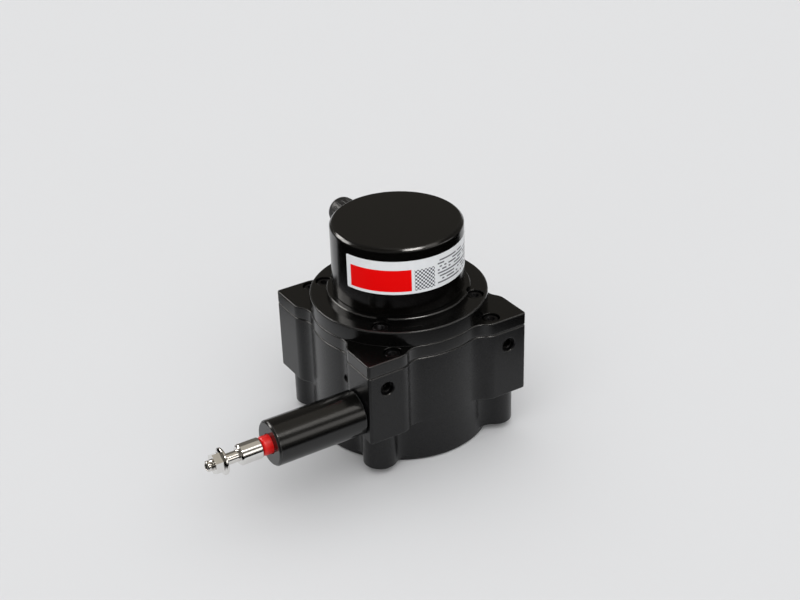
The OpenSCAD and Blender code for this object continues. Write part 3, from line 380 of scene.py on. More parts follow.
def turned(name, corners, finish, place=Matrix(), closed=False, steps=144):
    """A lathe part: the eased profile (radius, height) spun round the place's Z axis."""
    rings = []
    for radius, height, is_edge in eased(corners):
        if radius < 1e-9:
            rings.append([((0, 0, height), is_edge)])
        else:
            turn = [2 * math.pi * i / steps for i in range(steps)]
            rings.append([((radius * math.cos(a), radius * math.sin(a), height), is_edge) for a in turn])
    return shell(name, rings, finish, place, closed)


print("shape helpers ready")

# %% [markdown]
# ## Cutting
# Counterbores, tapped holes and notches are cut as a machinist would: a cutter's shape is taken away
# from the block. The exact Boolean solver does that, its result becomes a plain mesh, and the cutter is
# thrown away.

# %% Boolean helper
def cut(target, cutters, sharp=28):
    for cutter in cutters:
        boolean = target.modifiers.new("cut", "BOOLEAN")
        boolean.operation, boolean.solver, boolean.object = "DIFFERENCE", "EXACT", cutter
        bpy.context.view_layer.update()
        result = bpy.data.meshes.new_from_object(target.evaluated_get(bpy.context.evaluated_depsgraph_get()))
        target.modifiers.clear()
        if len(result.polygons) < 6:
            raise RuntimeError("the cut left nothing of " + target.name)
        target.data = result
        bpy.data.objects.remove(cutter)
    return smoothed(target, sharp)


def drill(radius, depth, chamfer, place, finish):
    """A cutter along +Z that starts above z = 0 and ends in a flat floor, with a chamfered mouth at z = 0."""
    corners = [(0, -depth, 0), (radius, -depth, 0), (radius, -chamfer, 0),
               (radius + 3 * chamfer, 2 * chamfer, 0),
               (radius + 3 * chamfer, 4 * mm, 0), (0, 4 * mm, 0)]
    return turned("cutter", corners, finish, place, steps=64)


def at(x, y, z):
    return Matrix.Translation((x, y, z))


print("cutting helpers ready")

# %% [markdown]
# ## The housing's outline
# Seen from above the housing is a round bulge between four square corner pads, joined by S-shaped
# curves: a hollow round where the pad meets the bulge and a full one where it turns into the flat side.
# Both rounds touch their neighbours, so their centres follow from the radii alone. The outline is made
# once, as points with the direction that points outwards there, and every block uses it.

# %% Outline of bulge, valleys and rounds
pad_round, pad_start = 7 * mm, 24 * mm
valley_round, corner_round = 8 * mm, 1.2 * mm
bulge_r = half_side - 0.5 * mm
boss_round, boss_at = 7.5 * mm, 30.4 * mm
boss_valley = 8 * mm


def sweep(centre, radius, start, end, steps, outwards=1):
    """Points of an arc with the outward direction at each: -1 for a hollow round."""
    arc = []
    for k in range(steps + 1):
        a = start + (end - start) * k / steps
        ray = Vector((math.cos(a), math.sin(a)))
        arc.append((centre + ray * radius, ray * outwards))
    return arc


def touching(first_r, centre, second_r, radius):
    """Centre of a round that touches a circle at the origin and one round the given centre."""
    length, a, b = centre.length, first_r + radius, second_r + radius
    along = (a * a - b * b + length * length) / (2 * length)
    across = math.sqrt(a * a - along * along)
    direction = centre / length
    return direction * along + Vector((-direction.y, direction.x)) * across


def whole_outline(half):
    """A half corner from the +Y side to the diagonal, mirrored about the diagonal and turned four times."""
    mirrored = [(Vector((p.y, p.x)), Vector((n.y, n.x))) for p, n in reversed(half)]
    corner = half + mirrored
    points = []
    for turn in range(4):
        c, s = round(math.cos(-turn * math.pi / 2)), round(math.sin(-turn * math.pi / 2))
        for p, n in corner:
            place = Vector((c * p.x - s * p.y, s * p.x + c * p.y))
            if not points or (place - points[-1][0]).length > 1e-6:
                points.append((place, Vector((c * n.x - s * n.y, s * n.x + c * n.y))))
    return points[:-1] if (points[0][0] - points[-1][0]).length < 1e-6 else points


def half_corner(round_r, valley_r, full_centre, full_r, end_angle, tail):
    valley = touching(round_r, full_centre, full_r, valley_r)
    bulge_end = math.atan2(valley.y, valley.x)
    to_full = math.atan2(full_centre.y - valley.y, full_centre.x - valley.x)
    first = sweep(Vector((0, 0)), round_r, math.pi / 2, bulge_end, 24)
    hollow = sweep(valley, valley_r, bulge_end - math.pi, to_full, 12, -1)
    full = sweep(full_centre, full_r, to_full + math.pi, end_angle, 12)
    return first + hollow[1:] + full[1:] + tail


corner_at = half_side - corner_round
pad_tail = sweep(Vector((corner_at, corner_at)), corner_round, math.pi / 2, math.pi / 4, 5)
case_outline = whole_outline(half_corner(bulge_r, valley_round, Vector((pad_start, half_side - pad_round)),
                                         pad_round, math.pi / 2, pad_tail))
base_outline = whole_outline(half_corner(bulge_r, boss_valley, Vector((boss_at, boss_at)), boss_round,
                                         math.pi / 4, []))
print("outline points", len(case_outline), len(base_outline))

# %% [markdown]
# ## Housing
# The housing is milled from one block: a round lower section with four corner bosses, and above it the
# square section with the pads. Each block is its outline given a height, with small chamfers where it
# ends. The drum chamber, the wire exit and the tapped holes are then cut out of it.

# %% Blocks from outlines
def block(name, outline, levels, finish, steps=3):
    """Levels are (inset, height, ease): the outline is drawn at each height, set back by the inset."""
    rings = []
    for inset, height, is_edge in eased(levels, steps):
        rings.append([((p.x - n.x * inset, p.y - n.y * inset, height), is_edge) for p, n in outline])
    return shell(name, rings, finish)


pad_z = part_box("spring_cover")[0].z
boss_z = 2.5 * mm
chamfer = 0.45 * mm
upper = block("housing_upper", case_outline,
              [(chamfer, pad_z, 0), (0, pad_z + chamfer, 0.15 * mm), (0, seam_z - 0.3 * mm, 0.15 * mm),
               (0.3 * mm, seam_z, 0)],
              housing_black)
boss_lip = [min(1, max(0, (p.length - bulge_r) / (0.6 * mm))) * chamfer for p, n in base_outline]
boss_rings = []
for share, height in ((1, boss_z), (0, boss_z + chamfer), (0, pad_z + 1 * mm)):
    boss_rings.append([((p.x - n.x * lip * share, p.y - n.y * lip * share, height), 0.0)
                       for (p, n), lip in zip(base_outline, boss_lip)])
lower = shell("housing_bosses", boss_rings, housing_black)
print("upper block", len(upper.data.vertices), "points; bosses", len(lower.data.vertices))

# %% Cut the chamber, the wire exit and the tapped holes
exit_place = at(0, wire_y, wire_z) @ Matrix.Rotation(-math.pi / 2, 4, "Y")
side_hole_z, side_hole_x, side_hole_r = seam_z - 7 * mm, 31 * mm, 2.65 * mm
side_hole_depth, sink = 12 * mm, 0.9 * mm


def bored(radius, low, high):
    """A plain cutter round the drum's axis."""
    return turned("cutter", [(0, low, 0), (radius, low, 0), (radius, high, 0), (0, high, 0)], housing_black)


chamber_r = 35.5 * mm
chamber = bored(chamber_r, pad_z - 1 * mm, seam_z + 1 * mm)
exit_r, exit_start = 7.05 * mm, 17.75 * mm
exit_bore = turned("cutter", [(0, exit_start, 0), (exit_r, exit_start, 0), (exit_r, half_side + 1 * mm, 0),
                              (0, half_side + 1 * mm, 0)], housing_black, exit_place)
tapped = []
for x in (-side_hole_x, side_hole_x):
    place = at(x, -half_side, side_hole_z) @ Matrix.Rotation(math.pi / 2, 4, "X")
    tapped.append(turned("cutter",
                         [(0, -side_hole_depth, 0), (side_hole_r, -side_hole_depth, 0),
                          (side_hole_r, -0.55 * sink, 0), (side_hole_r + 3 * sink, 1.1 * sink, 0),
                          (0, 1.1 * sink, 0)],
                         housing_black, place, steps=64))
set_low, set_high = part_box("side_set_screw")
set_y, set_z, set_r = (set_low.y + set_high.y) / 2, (set_low.z + set_high.z) / 2, (set_high.z - set_low.z) / 2
set_place = at(set_low.x - 1 * mm, set_y, set_z) @ Matrix.Rotation(-math.pi / 2, 4, "Y")
set_hole = drill(set_r + 0.05 * mm, 6 * mm, 0.2 * mm, set_place, housing_black)
cut(upper, [chamber, exit_bore, set_hole, *tapped])
boss_holes = [drill(2.1 * mm, 12 * mm, 0.35 * mm, at(x, y, boss_z) @ Matrix.Rotation(math.pi, 4, "X"),
                    housing_black)
              for x in (-boss_at, boss_at) for y in (-boss_at, boss_at)]
cut(lower, [bored(30 * mm, boss_z - 1 * mm, pad_z), bored(chamber_r, pad_z, pad_z + 2 * mm), *boss_holes])
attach(upper, "housing")
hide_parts("housing")
print("upper block after cutting", len(upper.data.polygons), "faces")

# %% The round lower section
floor_corners = [(0, 0, 0), (bulge_r - 0.6 * mm, 0, 0.2 * mm), (bulge_r, 0.6 * mm, 0.2 * mm),
                 (bulge_r, boss_z + 0.1 * mm, 0), (0, boss_z + 0.1 * mm, 0)]
floor = turned("housing_floor", floor_corners, housing_black)
for piece in (floor, lower):
    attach(piece, "housing")
print("lower section", len(floor.data.vertices), "points")

# %% [markdown]
# ## Cover, flange, encoder base and can
# The cover has the housing's outline, with a chamfer that shows as a bright line. On it sits the round
# adapter flange, then the encoder's base rim, and the deep drawn can. Their screws sit in counterbores,
# and the flange screws' counterbores run on through the base rim as notches.

# %% Cover plate
cover = block("cover_plate_dressed", case_outline,
              [(0.2 * mm, cover_z, 0), (0, cover_z + 0.2 * mm, 0.1 * mm), (0, cover_top, 0.6 * mm),
               (1.1 * mm, cover_top, 0)],
              cover_black, 6)
screw_low, screw_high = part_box("cover_screws")
head_r = 3.5 * mm
cover_screw_x = (screw_high.x - screw_low.x) / 2 - head_r
cover_screw_y = (screw_high.y - screw_low.y) / 2 - head_r
head_z = screw_high.z
head_h = 3.2 * mm
pocket_r = head_r + 0.25 * mm
pockets = [drill(pocket_r, head_h + cover_top - head_z, 0.25 * mm, at(x, y, cover_top), cover_black)
           for x in (-cover_screw_x, cover_screw_x) for y in (-cover_screw_y, cover_screw_y)]
bearing_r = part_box("drum_bearing_outers")[1].x
cut(cover, [bored(bearing_r, cover_z + 1.6 * mm, cover_top + 1 * mm),
            bored(bearing_r - 1.5 * mm, cover_z - 1 * mm, cover_z + 2 * mm), *pockets])
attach(cover, "housing")
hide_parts("cover_plate")
print("cover", len(cover.data.polygons), "faces")

# %% Adapter flange
flange_screw_low, flange_screw_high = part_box("flange_screws")
flange_screw_r = ((flange_screw_high.x - flange_screw_low.x) / 2 - head_r) * math.sqrt(2)
flange_head_z = flange_screw_high.z
flange = turned("adapter_flange_dressed",
                [(0, flange_low.z, 0), (flange_r - 0.2 * mm, flange_low.z, 0.1 * mm),
                 (flange_r, flange_low.z + 0.2 * mm, 0.1 * mm),
                 (flange_r, rim_z, 0.6 * mm), (flange_r - 1.6 * mm, rim_z, 0), (0, rim_z, 0)],
                flange_black)
corner_places = [Matrix.Rotation(math.pi / 4 + turn * math.pi / 2, 4, "Z") @ at(flange_screw_r, 0, rim_z)
                 for turn in range(4)]
pilot_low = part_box("encoder_base")[0].z
flange_bores = [bored(bearing_r - 0.8 * mm, flange_low.z - 1 * mm, rim_z),
                bored(18 * mm, pilot_low, rim_z + 1 * mm)]
flange_pockets = [drill(pocket_r, head_h + rim_z - flange_head_z, 0.25 * mm, place, flange_black)
                  for place in corner_places]
cut(flange, flange_bores + flange_pockets)
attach(flange, "housing")
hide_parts("adapter_flange")
print("flange screws on radius", round(flange_screw_r / mm, 2))

# %% Encoder base
rim_r = 31.6 * mm
barrel_r = can_r - 1.65 * mm
base = turned("encoder_base_dressed",
              [(0, rim_z, 0), (rim_r, rim_z, 0), (rim_r, can_z - 0.35 * mm, 0.12 * mm),
               (rim_r - 0.35 * mm, can_z, 0.12 * mm),
               (rim_r - 0.8 * mm, can_z, 0), (barrel_r, can_z, 0), (barrel_r, can_z + 3.8 * mm, 0.2 * mm),
               (0, can_z + 3.8 * mm, 0)],
              base_black)
notch_floor = rim_z - 1 * mm
notch_end = can_z + 1 * mm
notch_profile = [(0, notch_floor, 0), (pocket_r, notch_floor, 0), (pocket_r, notch_end, 0), (0, notch_end, 0)]
notch_places = [Matrix.Rotation(math.pi / 4 + turn * math.pi / 2, 4, "Z") @ at(flange_screw_r, 0, 0)
                for turn in range(4)]
notches = [turned("cutter", notch_profile, base_black, place, steps=64) for place in notch_places]
cut(base, notches)
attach(base, "housing")
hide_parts("encoder_base")
print("base rim", round(rim_r / mm, 2))

# %% Encoder can with its gland boss
bevel = 1.3 * mm
can = turned("encoder_can",
             [(can_r - 0.25 * mm, can_z, 0), (can_r, can_z + 0.25 * mm, 0.1 * mm),
              (can_r, can_top - bevel, 0.45 * mm), (can_r - bevel, can_top, 0.45 * mm),
              (can_r - 2.4 * bevel, can_top, 0), (0, can_top, 0)],
             can_black, steps=192)
gland_place = at(0, 0, gland_z) @ Matrix.Rotation(-math.pi / 2, 4, "X")
seat_y = can_high.y
boss = turned("gland_seat", [(0, 20 * mm, 0), (8.1 * mm, 20 * mm, 0), (8.1 * mm, seat_y, 0.35 * mm),
                             (0, seat_y, 0)], can_black, gland_place, steps=96)
for piece in (can, boss):
    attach(piece, "housing")
    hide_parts("encoder_cover")
print("can", round(can_r / mm, 2), "tall", round((can_top - can_z) / mm, 2))

# %% [markdown]
# ## Nozzle and buffer
# The nozzle is a turned tube whose spigot is pressed into the housing. Its bore is stepped for the guide
# bush, the wiper felt and the red rubber buffer that the wire's end runs against.

# %% Nozzle tube
face_x = half_side
spigot_end = -nozzle_high.x
buffer_low, buffer_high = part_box("buffer")
buffer_r = (buffer_high.z - buffer_low.z) / 2
buffer_back, buffer_tip = -buffer_high.x, -buffer_low.x
felt_back = -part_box("wiper_felt")[1].x
guide_back, guide_front = -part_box("guide_bush")[1].x, -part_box("guide_bush")[0].x
guide_r = (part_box("guide_bush")[1].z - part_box("guide_bush")[0].z) / 2
nozzle = turned("nozzle_tube_dressed",
                [(guide_r, spigot_end, 0), (7 * mm, spigot_end, 0.3 * mm), (7 * mm, face_x, 0),
                 (nozzle_r - 0.8 * mm, face_x, 0.2 * mm),
                 (nozzle_r, face_x + 0.8 * mm, 0.25 * mm), (nozzle_r, mouth_x - 0.8 * mm, 0.25 * mm),
                 (nozzle_r - 0.8 * mm, mouth_x, 0.25 * mm),
                 (buffer_r + 0.45 * mm, mouth_x, 0.12 * mm),
                 (buffer_r + 0.05 * mm, mouth_x - 0.4 * mm, 0.12 * mm), (buffer_r + 0.05 * mm, felt_back, 0),
                 (3 * mm, felt_back, 0), (3 * mm, guide_front, 0), (guide_r, guide_front, 0),
                 (guide_r, spigot_end, 0)],
                nozzle_black, exit_place, closed=True, steps=160)
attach(nozzle, "housing")
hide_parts("nozzle_tube")
print("nozzle to", round(mouth_x / mm, 2))

# %% Rubber buffer
wire_hole = 0.75 * mm
buffer = turned("rubber_buffer",
                [(wire_hole, buffer_back, 0), (buffer_r - 0.1 * mm, buffer_back, 0.3 * mm),
                 (buffer_r, mouth_x - 1 * mm, 0.3 * mm),
                 (buffer_r - 0.06 * mm, mouth_x + 1.5 * mm, 0.8 * mm),
                 (buffer_r - 0.02 * mm, buffer_tip - 0.8 * mm, 0.4 * mm),
                 (buffer_r - 0.8 * mm, buffer_tip, 0.45 * mm), (wire_hole + 0.3 * mm, buffer_tip, 0.2 * mm),
                 (wire_hole, buffer_tip - 0.4 * mm, 0.1 * mm), (wire_hole, buffer_back, 0)],
                buffer_red, exit_place, closed=True, steps=96)
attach(buffer, "housing")
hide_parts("buffer")
print("buffer stands out", round((buffer_tip - mouth_x) / mm, 2))

# %% [markdown]
# ## The wire's end
# A ferrule, an M5 stud with a hole in its tip and a flange nut, all bright nickel. The ferrule is a plain
# turned part. The stud leaves it as a plain neck and is threaded beyond the nut. The thread is a ridge
# that climbs in a helix, so it follows a rule and Geometry Nodes can wind it. The nut's hexagon is cut
# with cones, as on a real nut.

# %% Ferrule
ferrule_low, ferrule_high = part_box("ferrule")
ferrule_back, ferrule_tip = -ferrule_high.x, -ferrule_low.x
ferrule_r = (ferrule_high.z - ferrule_low.z) / 2
profile = [(0.7 * mm, ferrule_back, 0), (ferrule_r - 0.5 * mm, ferrule_back, 0.2 * mm),
           (ferrule_r, ferrule_back + 0.5 * mm, 0.25 * mm)]
profile += [(ferrule_r, ferrule_tip - 0.8 * mm, 0.35 * mm), (ferrule_r - 0.8 * mm, ferrule_tip, 0.3 * mm),
            (2.3 * mm, ferrule_tip, 0),
            (2.3 * mm, ferrule_tip - 2 * mm, 0), (0.7 * mm, ferrule_tip - 2 * mm, 0),
            (0.7 * mm, ferrule_back, 0)]
ferrule = turned("wire_ferrule", profile, nickel, exit_place, closed=True, steps=96)
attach(ferrule, "wire_end")
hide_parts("ferrule")
print("ferrule", round((ferrule_tip - ferrule_back) / mm, 2), "long")

# %% Stud core with the hole in its tip
stud_low, stud_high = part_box("end_stud")
stud_r = (stud_high.z - stud_low.z) / 2
stud_back, stud_tip = -stud_high.x, -stud_low.x
pitch, thread_depth = 0.8 * mm, 0.45 * mm
core_r = stud_r - thread_depth
nut_back = -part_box("flange_nut")[1].x
tip_ring_r, tip_hole_r = stud_r - 0.15 * mm, 1.45 * mm
stud = turned("stud_core",
              [(0, stud_back, 0), (stud_r, stud_back, 0), (stud_r, nut_back - 0.1 * mm, 0.15 * mm),
               (core_r, nut_back + 0.3 * mm, 0),
               (core_r, stud_tip - 1.7 * mm, 0.1 * mm), (tip_ring_r, stud_tip - 1.4 * mm, 0.2 * mm),
               (tip_ring_r, stud_tip - 0.35 * mm, 0.2 * mm),
               (tip_ring_r - 0.4 * mm, stud_tip, 0.15 * mm), (tip_hole_r + 0.15 * mm, stud_tip, 0.1 * mm),
               (tip_hole_r, stud_tip - 0.2 * mm, 0.1 * mm),
               (tip_hole_r, stud_tip - 3.5 * mm, 0), (0, stud_tip - 4 * mm, 0)],
              thread_metal, exit_place, steps=96)
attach(stud, "wire_end")
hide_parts("end_stud")
print("stud core", round(core_r / mm, 2))

# %% [markdown]
# ## Geometry Nodes helpers
# Each tree below gets named inputs for its sizes. An input is set on the modifier by its socket's
# identifier. The result is then turned into a plain mesh, because an exported file can't hold instances,
# and the place of the piece is applied to the mesh, so that the object itself stays at the origin.

# %% Node tree and plain mesh helpers
def new_tree(name, inputs):
    tree = bpy.data.node_groups.new(name, "GeometryNodeTree")
    tree.interface.new_socket("Geometry", in_out="OUTPUT", socket_type="NodeSocketGeometry")
    for label, (kind, value) in inputs.items():
        socket = tree.interface.new_socket(label, in_out="INPUT", socket_type=kind)
        if value is not None:
            socket.default_value = value
    source = tree.nodes.new("NodeGroupInput")
    return tree, source, tree.nodes.new("NodeGroupOutput")


def join(tree, output, socket):
    tree.links.new(output, socket)


def ready(tree, geometry, source, target):
    """Every tree ends the same way: instances made real and the finish set."""
    real = add(tree, "GeometryNodeRealizeInstances", Geometry=geometry)
    dressed = add(tree, "GeometryNodeSetMaterial", Geometry=real.outputs[0], Material=source.outputs["Finish"])
    tree.links.new(dressed.outputs[0], target.inputs[0])


def grown(name, tree, values, place=Matrix(), sharp=28):
    """Run a tree on an empty mesh and keep what it makes as a plain mesh at its place."""
    holder = bpy.data.objects.new(name, bpy.data.meshes.new(name))
    bpy.context.scene.collection.objects.link(holder)
    modifier = holder.modifiers.new("grow", "NODES")
    modifier.node_group = tree
    names = {item.name: item.identifier for item in tree.interface.items_tree if item.in_out == "INPUT"}
    for label, value in values.items():
        modifier[names[label]] = value
    bpy.context.view_layer.update()
    mesh = bpy.data.meshes.new_from_object(holder.evaluated_get(bpy.context.evaluated_depsgraph_get()))
    holder.modifiers.clear()
    holder.data = mesh
    bm = bmesh.new()
    bm.from_mesh(mesh)
    bm.transform(place)
    bmesh.ops.remove_doubles(bm, verts=bm.verts, dist=1e-7)
    bmesh.ops.recalc_face_normals(bm, faces=bm.faces)
    bm.to_mesh(mesh)
    bm.free()
    return smoothed(holder, sharp)


FLOAT, COUNT, FINISH = "NodeSocketFloat", "NodeSocketInt", "NodeSocketMaterial"
print("geometry node helpers ready")

# %% Thread ridge as a helix
def thread_tree():
    tree, source, target = new_tree("helix thread", {
        "Radius": (FLOAT, 0.002), "Pitch": (FLOAT, 0.0008), "Length": (FLOAT, 0.01), "Ridge": (FLOAT, 0.0005),
        "Finish": (FINISH, None)})
    turns = add(tree, "ShaderNodeMath", {"operation": "DIVIDE"})
    join(tree, source.outputs["Length"], turns.inputs[0])
    join(tree, source.outputs["Pitch"], turns.inputs[1])
    spiral = add(tree, "GeometryNodeCurveSpiral", Resolution=40)
    join(tree, turns.outputs[0], spiral.inputs["Rotations"])
    join(tree, source.outputs["Radius"], spiral.inputs["Start Radius"])
    join(tree, source.outputs["Radius"], spiral.inputs["End Radius"])
    join(tree, source.outputs["Length"], spiral.inputs["Height"])
    profile = tree.nodes.new("GeometryNodeCurvePrimitiveCircle")
    profile.inputs["Resolution"].default_value = 6
    join(tree, source.outputs["Ridge"], profile.inputs["Radius"])
    skin = add(tree, "GeometryNodeCurveToMesh", Curve=spiral.outputs[0], Fill_Caps=True)
    join(tree, profile.outputs[0], skin.inputs["Profile Curve"])
    ready(tree, skin.outputs[0], source, target)
    return tree


ridge = 0.38 * mm
thread = grown("stud_thread", thread_tree(), {
    "Radius": stud_r - ridge, "Pitch": pitch, "Length": stud_tip - nut_back - 2.4 * mm, "Ridge": ridge,
    "Finish": thread_metal},
    exit_place @ at(0, 0, nut_back + 0.7 * mm), 50)
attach(thread, "wire_end")
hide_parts("end_stud")
print("thread", len(thread.data.polygons), "faces")

# %% Flange nut
nut_low, nut_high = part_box("flange_nut")
nut_front = -nut_low.x
nut_flange_r = (nut_high.z - nut_low.z) / 2
hex_r = 8 * mm / math.sqrt(3)


def hexagon(name, radius, low, high, crown, finish, place, bore):
    """A hexagonal prism cut at its ends by cones and bored through, as a nut is."""
    bm = bmesh.new()
    for z in (low, high):
        for k in range(6):
            a = math.pi / 3 * k
            bm.verts.new((radius * math.cos(a), radius * math.sin(a), z))
    v = list(bm.verts)
    for k in range(6):
        bm.faces.new((v[k], v[(k + 1) % 6], v[6 + (k + 1) % 6], v[6 + k]))
    bm.faces.new(v[5::-1])
    bm.faces.new(v[6:])
    bm.transform(place)
    prism = finished(name, bm, finish)
    flat = radius * math.sqrt(3) / 2 + 0.05 * mm
    crowned = [(radius * 2, high + 1 * mm, 0), (radius * 2, low - 1 * mm, 0), (flat, low - 1 * mm, 0)]
    low_cone = [(flat, low, 0), (radius + 0.01 * mm, low + crown[0], 0)]
    crowned += low_cone if crown[0] else [(radius + 0.5 * mm, low - 1 * mm, 0)]
    crowned += [(radius + 0.01 * mm, high - crown[1], 0), (flat, high, 0), (flat, high + 1 * mm, 0),
                (radius * 2, high + 1 * mm, 0)]
    cones = turned("cutter", crowned, finish, place, closed=True, steps=96)
    hole = turned("cutter", [(0, low - 2 * mm, 0), (bore, low - 2 * mm, 0), (bore, high - 0.3 * mm, 0),
                             (bore + 0.9 * mm, high + 0.6 * mm, 0), (0, high + 0.6 * mm, 0)],
                  finish, place, steps=64)
    return cut(prism, [cones, hole])


nut = hexagon("nut_hexagon", hex_r, nut_back + 0.6 * mm, nut_front, (0, 0.45 * mm), nickel, exit_place,
              stud_r - 0.3 * mm)
washer = turned("nut_flange",
                [(stud_r - 0.2 * mm, nut_back, 0), (nut_flange_r - 0.3 * mm, nut_back, 0.2 * mm),
                 (nut_flange_r, nut_back + 0.3 * mm, 0.2 * mm),
                 (nut_flange_r, nut_back + 1.15 * mm, 0.35 * mm), (4.4 * mm, nut_back + 1.75 * mm, 0.3 * mm),
                 (stud_r - 0.2 * mm, nut_back + 1.75 * mm, 0), (stud_r - 0.2 * mm, nut_back, 0)],
                nickel, exit_place, closed=True, steps=96)
for piece in (nut, washer):
    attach(piece, "wire_end")
    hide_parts("flange_nut")
print("nut", round(nut_flange_r / mm, 2))

# %% [markdown]
# ## Screws
# Eight socket head screws hold the cover and the flange. Only their heads show. The head is one mesh: a
# turned profile with a hexagonal socket in it. A node tree puts it on the corners of a rectangle and turns
# each copy a little, as hand-tightened screws are. Both sets use the same tree with other sizes.

# %% Head, placed on a rectangle of points
def screw_head(finish):
    """The head's mesh, with its top at z = 0: plain side, rounded rim, and a socket with a pointed floor."""
    outer, inner, sides = head_r, 2.5 * mm / math.sqrt(3) * 1.15, 96
    rings = []
    for radius, z, is_edge in eased([(outer, -head_h, 0), (outer, -0.5 * mm, 0.2 * mm),
                                     (outer - 0.5 * mm, 0, 0.25 * mm), (inner + 0.75 * mm, 0, 0)]):
        rings.append([((radius * math.cos(2 * math.pi * i / sides), radius * math.sin(2 * math.pi * i / sides),
                        z), is_edge) for i in range(sides)])
    for grow, z in ((0.28 * mm, 0), (0, -0.3 * mm), (0, -1.9 * mm)):
        ring = []
        for i in range(sides):
            a = 2 * math.pi * i / sides
            side = (inner + grow) * math.cos(math.pi / 6) / math.cos((a % (math.pi / 3)) - math.pi / 6)
            ring.append(((side * math.cos(a), side * math.sin(a), z), 0.0))
        rings.append(ring)
    rings.append([((0, 0, -2.4 * mm), 0.0)])
    return shell("screw_head", rings, finish)


def screws_tree():
    tree, source, target = new_tree("screws on a rectangle", {
        "Wide": (FLOAT, 0.05), "Deep": (FLOAT, 0.05), "Height": (FLOAT, 0.0), "Seed": (COUNT, 7),
        "Head": ("NodeSocketObject", None), "Finish": (FINISH, None)})
    grid = add(tree, "GeometryNodeMeshGrid", Vertices_X=2, Vertices_Y=2)
    join(tree, source.outputs["Wide"], grid.inputs["Size X"])
    join(tree, source.outputs["Deep"], grid.inputs["Size Y"])
    lift = add(tree, "ShaderNodeCombineXYZ")
    join(tree, source.outputs["Height"], lift.inputs["Z"])
    raised = add(tree, "GeometryNodeSetPosition", Geometry=grid.outputs[0], Offset=lift.outputs[0])
    angle = add(tree, "FunctionNodeRandomValue", {"data_type": "FLOAT"})
    floats = [s for s in angle.inputs if s.type == "VALUE" and s.name in ("Min", "Max")]
    floats[0].default_value, floats[1].default_value = -0.5, 0.5
    join(tree, source.outputs["Seed"], angle.inputs["Seed"])
    chosen = [s for s in angle.outputs if s.type == "VALUE"][0]
    turn = add(tree, "ShaderNodeCombineXYZ", Z=chosen)
    head = tree.nodes.new("GeometryNodeObjectInfo")
    join(tree, source.outputs["Head"], head.inputs["Object"])
    placed = add(tree, "GeometryNodeInstanceOnPoints", Points=raised.outputs[0],
                 Instance=head.outputs["Geometry"], Rotation=turn.outputs[0])
    ready(tree, placed.outputs[0], source, target)
    return tree


head = screw_head(screw_black)
rectangle_screws = screws_tree()
side = 2 * flange_screw_r / math.sqrt(2)
screw_sets = (("cover_screw_heads", "cover_screws", 2 * cover_screw_x, 2 * cover_screw_y, head_z, 3),
              ("flange_screw_heads", "flange_screws", side, side, flange_head_z, 8))
for name, node, wide, deep, height, seed in screw_sets:
    heads = grown(name, rectangle_screws,
                  {"Wide": wide, "Deep": deep, "Height": height, "Seed": seed, "Head": head,
                   "Finish": screw_black})
    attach(heads, "housing")
    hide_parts(node)
    print(name, len(heads.data.polygons), "faces")
bpy.data.objects.remove(head)

# %% [markdown]
# ## Cable gland
# The gland holds the signal cable: a hexagonal collar screwed into the can's boss, and a domed nut whose
# ribs give grip. The ribs repeat round a circle, so Geometry Nodes place one rib on every point of it.

# %% Gland collar and nut
gland_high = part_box("gland_body")[1]
gland_nut_low, gland_nut_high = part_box("gland_nut")
collar_end = gland_nut_low.y - 0.3 * mm
gland_nut_r = gland_nut_high.x
collar = hexagon("gland_collar", gland_high.x, seat_y, collar_end, (0.5 * mm, 0.5 * mm), gland_plastic,
                 gland_place, 4.4 * mm)
neck_bore_r, neck_r = 4.5 * mm, 5.5 * mm
neck = turned("gland_neck", [(neck_bore_r, seat_y + 1 * mm, 0), (neck_r, seat_y + 1 * mm, 0),
                             (neck_r, collar_end + 5 * mm, 0.2 * mm), (neck_bore_r, collar_end + 5 * mm, 0),
                             (neck_bore_r, seat_y + 1 * mm, 0)],
              gland_plastic, gland_place, closed=True, steps=64)
skin_r = gland_nut_r - 0.3 * mm
cable_r, cap_bore_r = 3.1 * mm, 5.6 * mm
dome = 3.6 * mm
body_end = gland_nut_high.y - dome
cap_corners = [(cap_bore_r, gland_nut_low.y, 0), (skin_r - 0.3 * mm, gland_nut_low.y, 0.15 * mm),
               (skin_r, gland_nut_low.y + 0.3 * mm, 0.15 * mm), (skin_r, body_end, 0)]
cap_corners += [(skin_r - dome * (1 - math.cos(a)), body_end + dome * math.sin(a), 0)
                for a in (math.radians(9 * k) for k in range(1, 10))]
cap_corners += [(cable_r + 0.5 * mm, gland_nut_high.y, 0.2 * mm),
                (cable_r, gland_nut_high.y - 0.5 * mm, 0.2 * mm), (cable_r, gland_nut_high.y - 2.5 * mm, 0),
                (cap_bore_r, gland_nut_high.y - 4.5 * mm, 0), (cap_bore_r, gland_nut_low.y, 0)]
cap = turned("gland_cap", cap_corners, gland_plastic, gland_place, closed=True, steps=108)
for piece, node in ((collar, "gland_body"), (neck, "gland_body"), (cap, "gland_nut")):
    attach(piece, "housing")
    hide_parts(node)
print("gland nut", round(gland_nut_r / mm, 2))


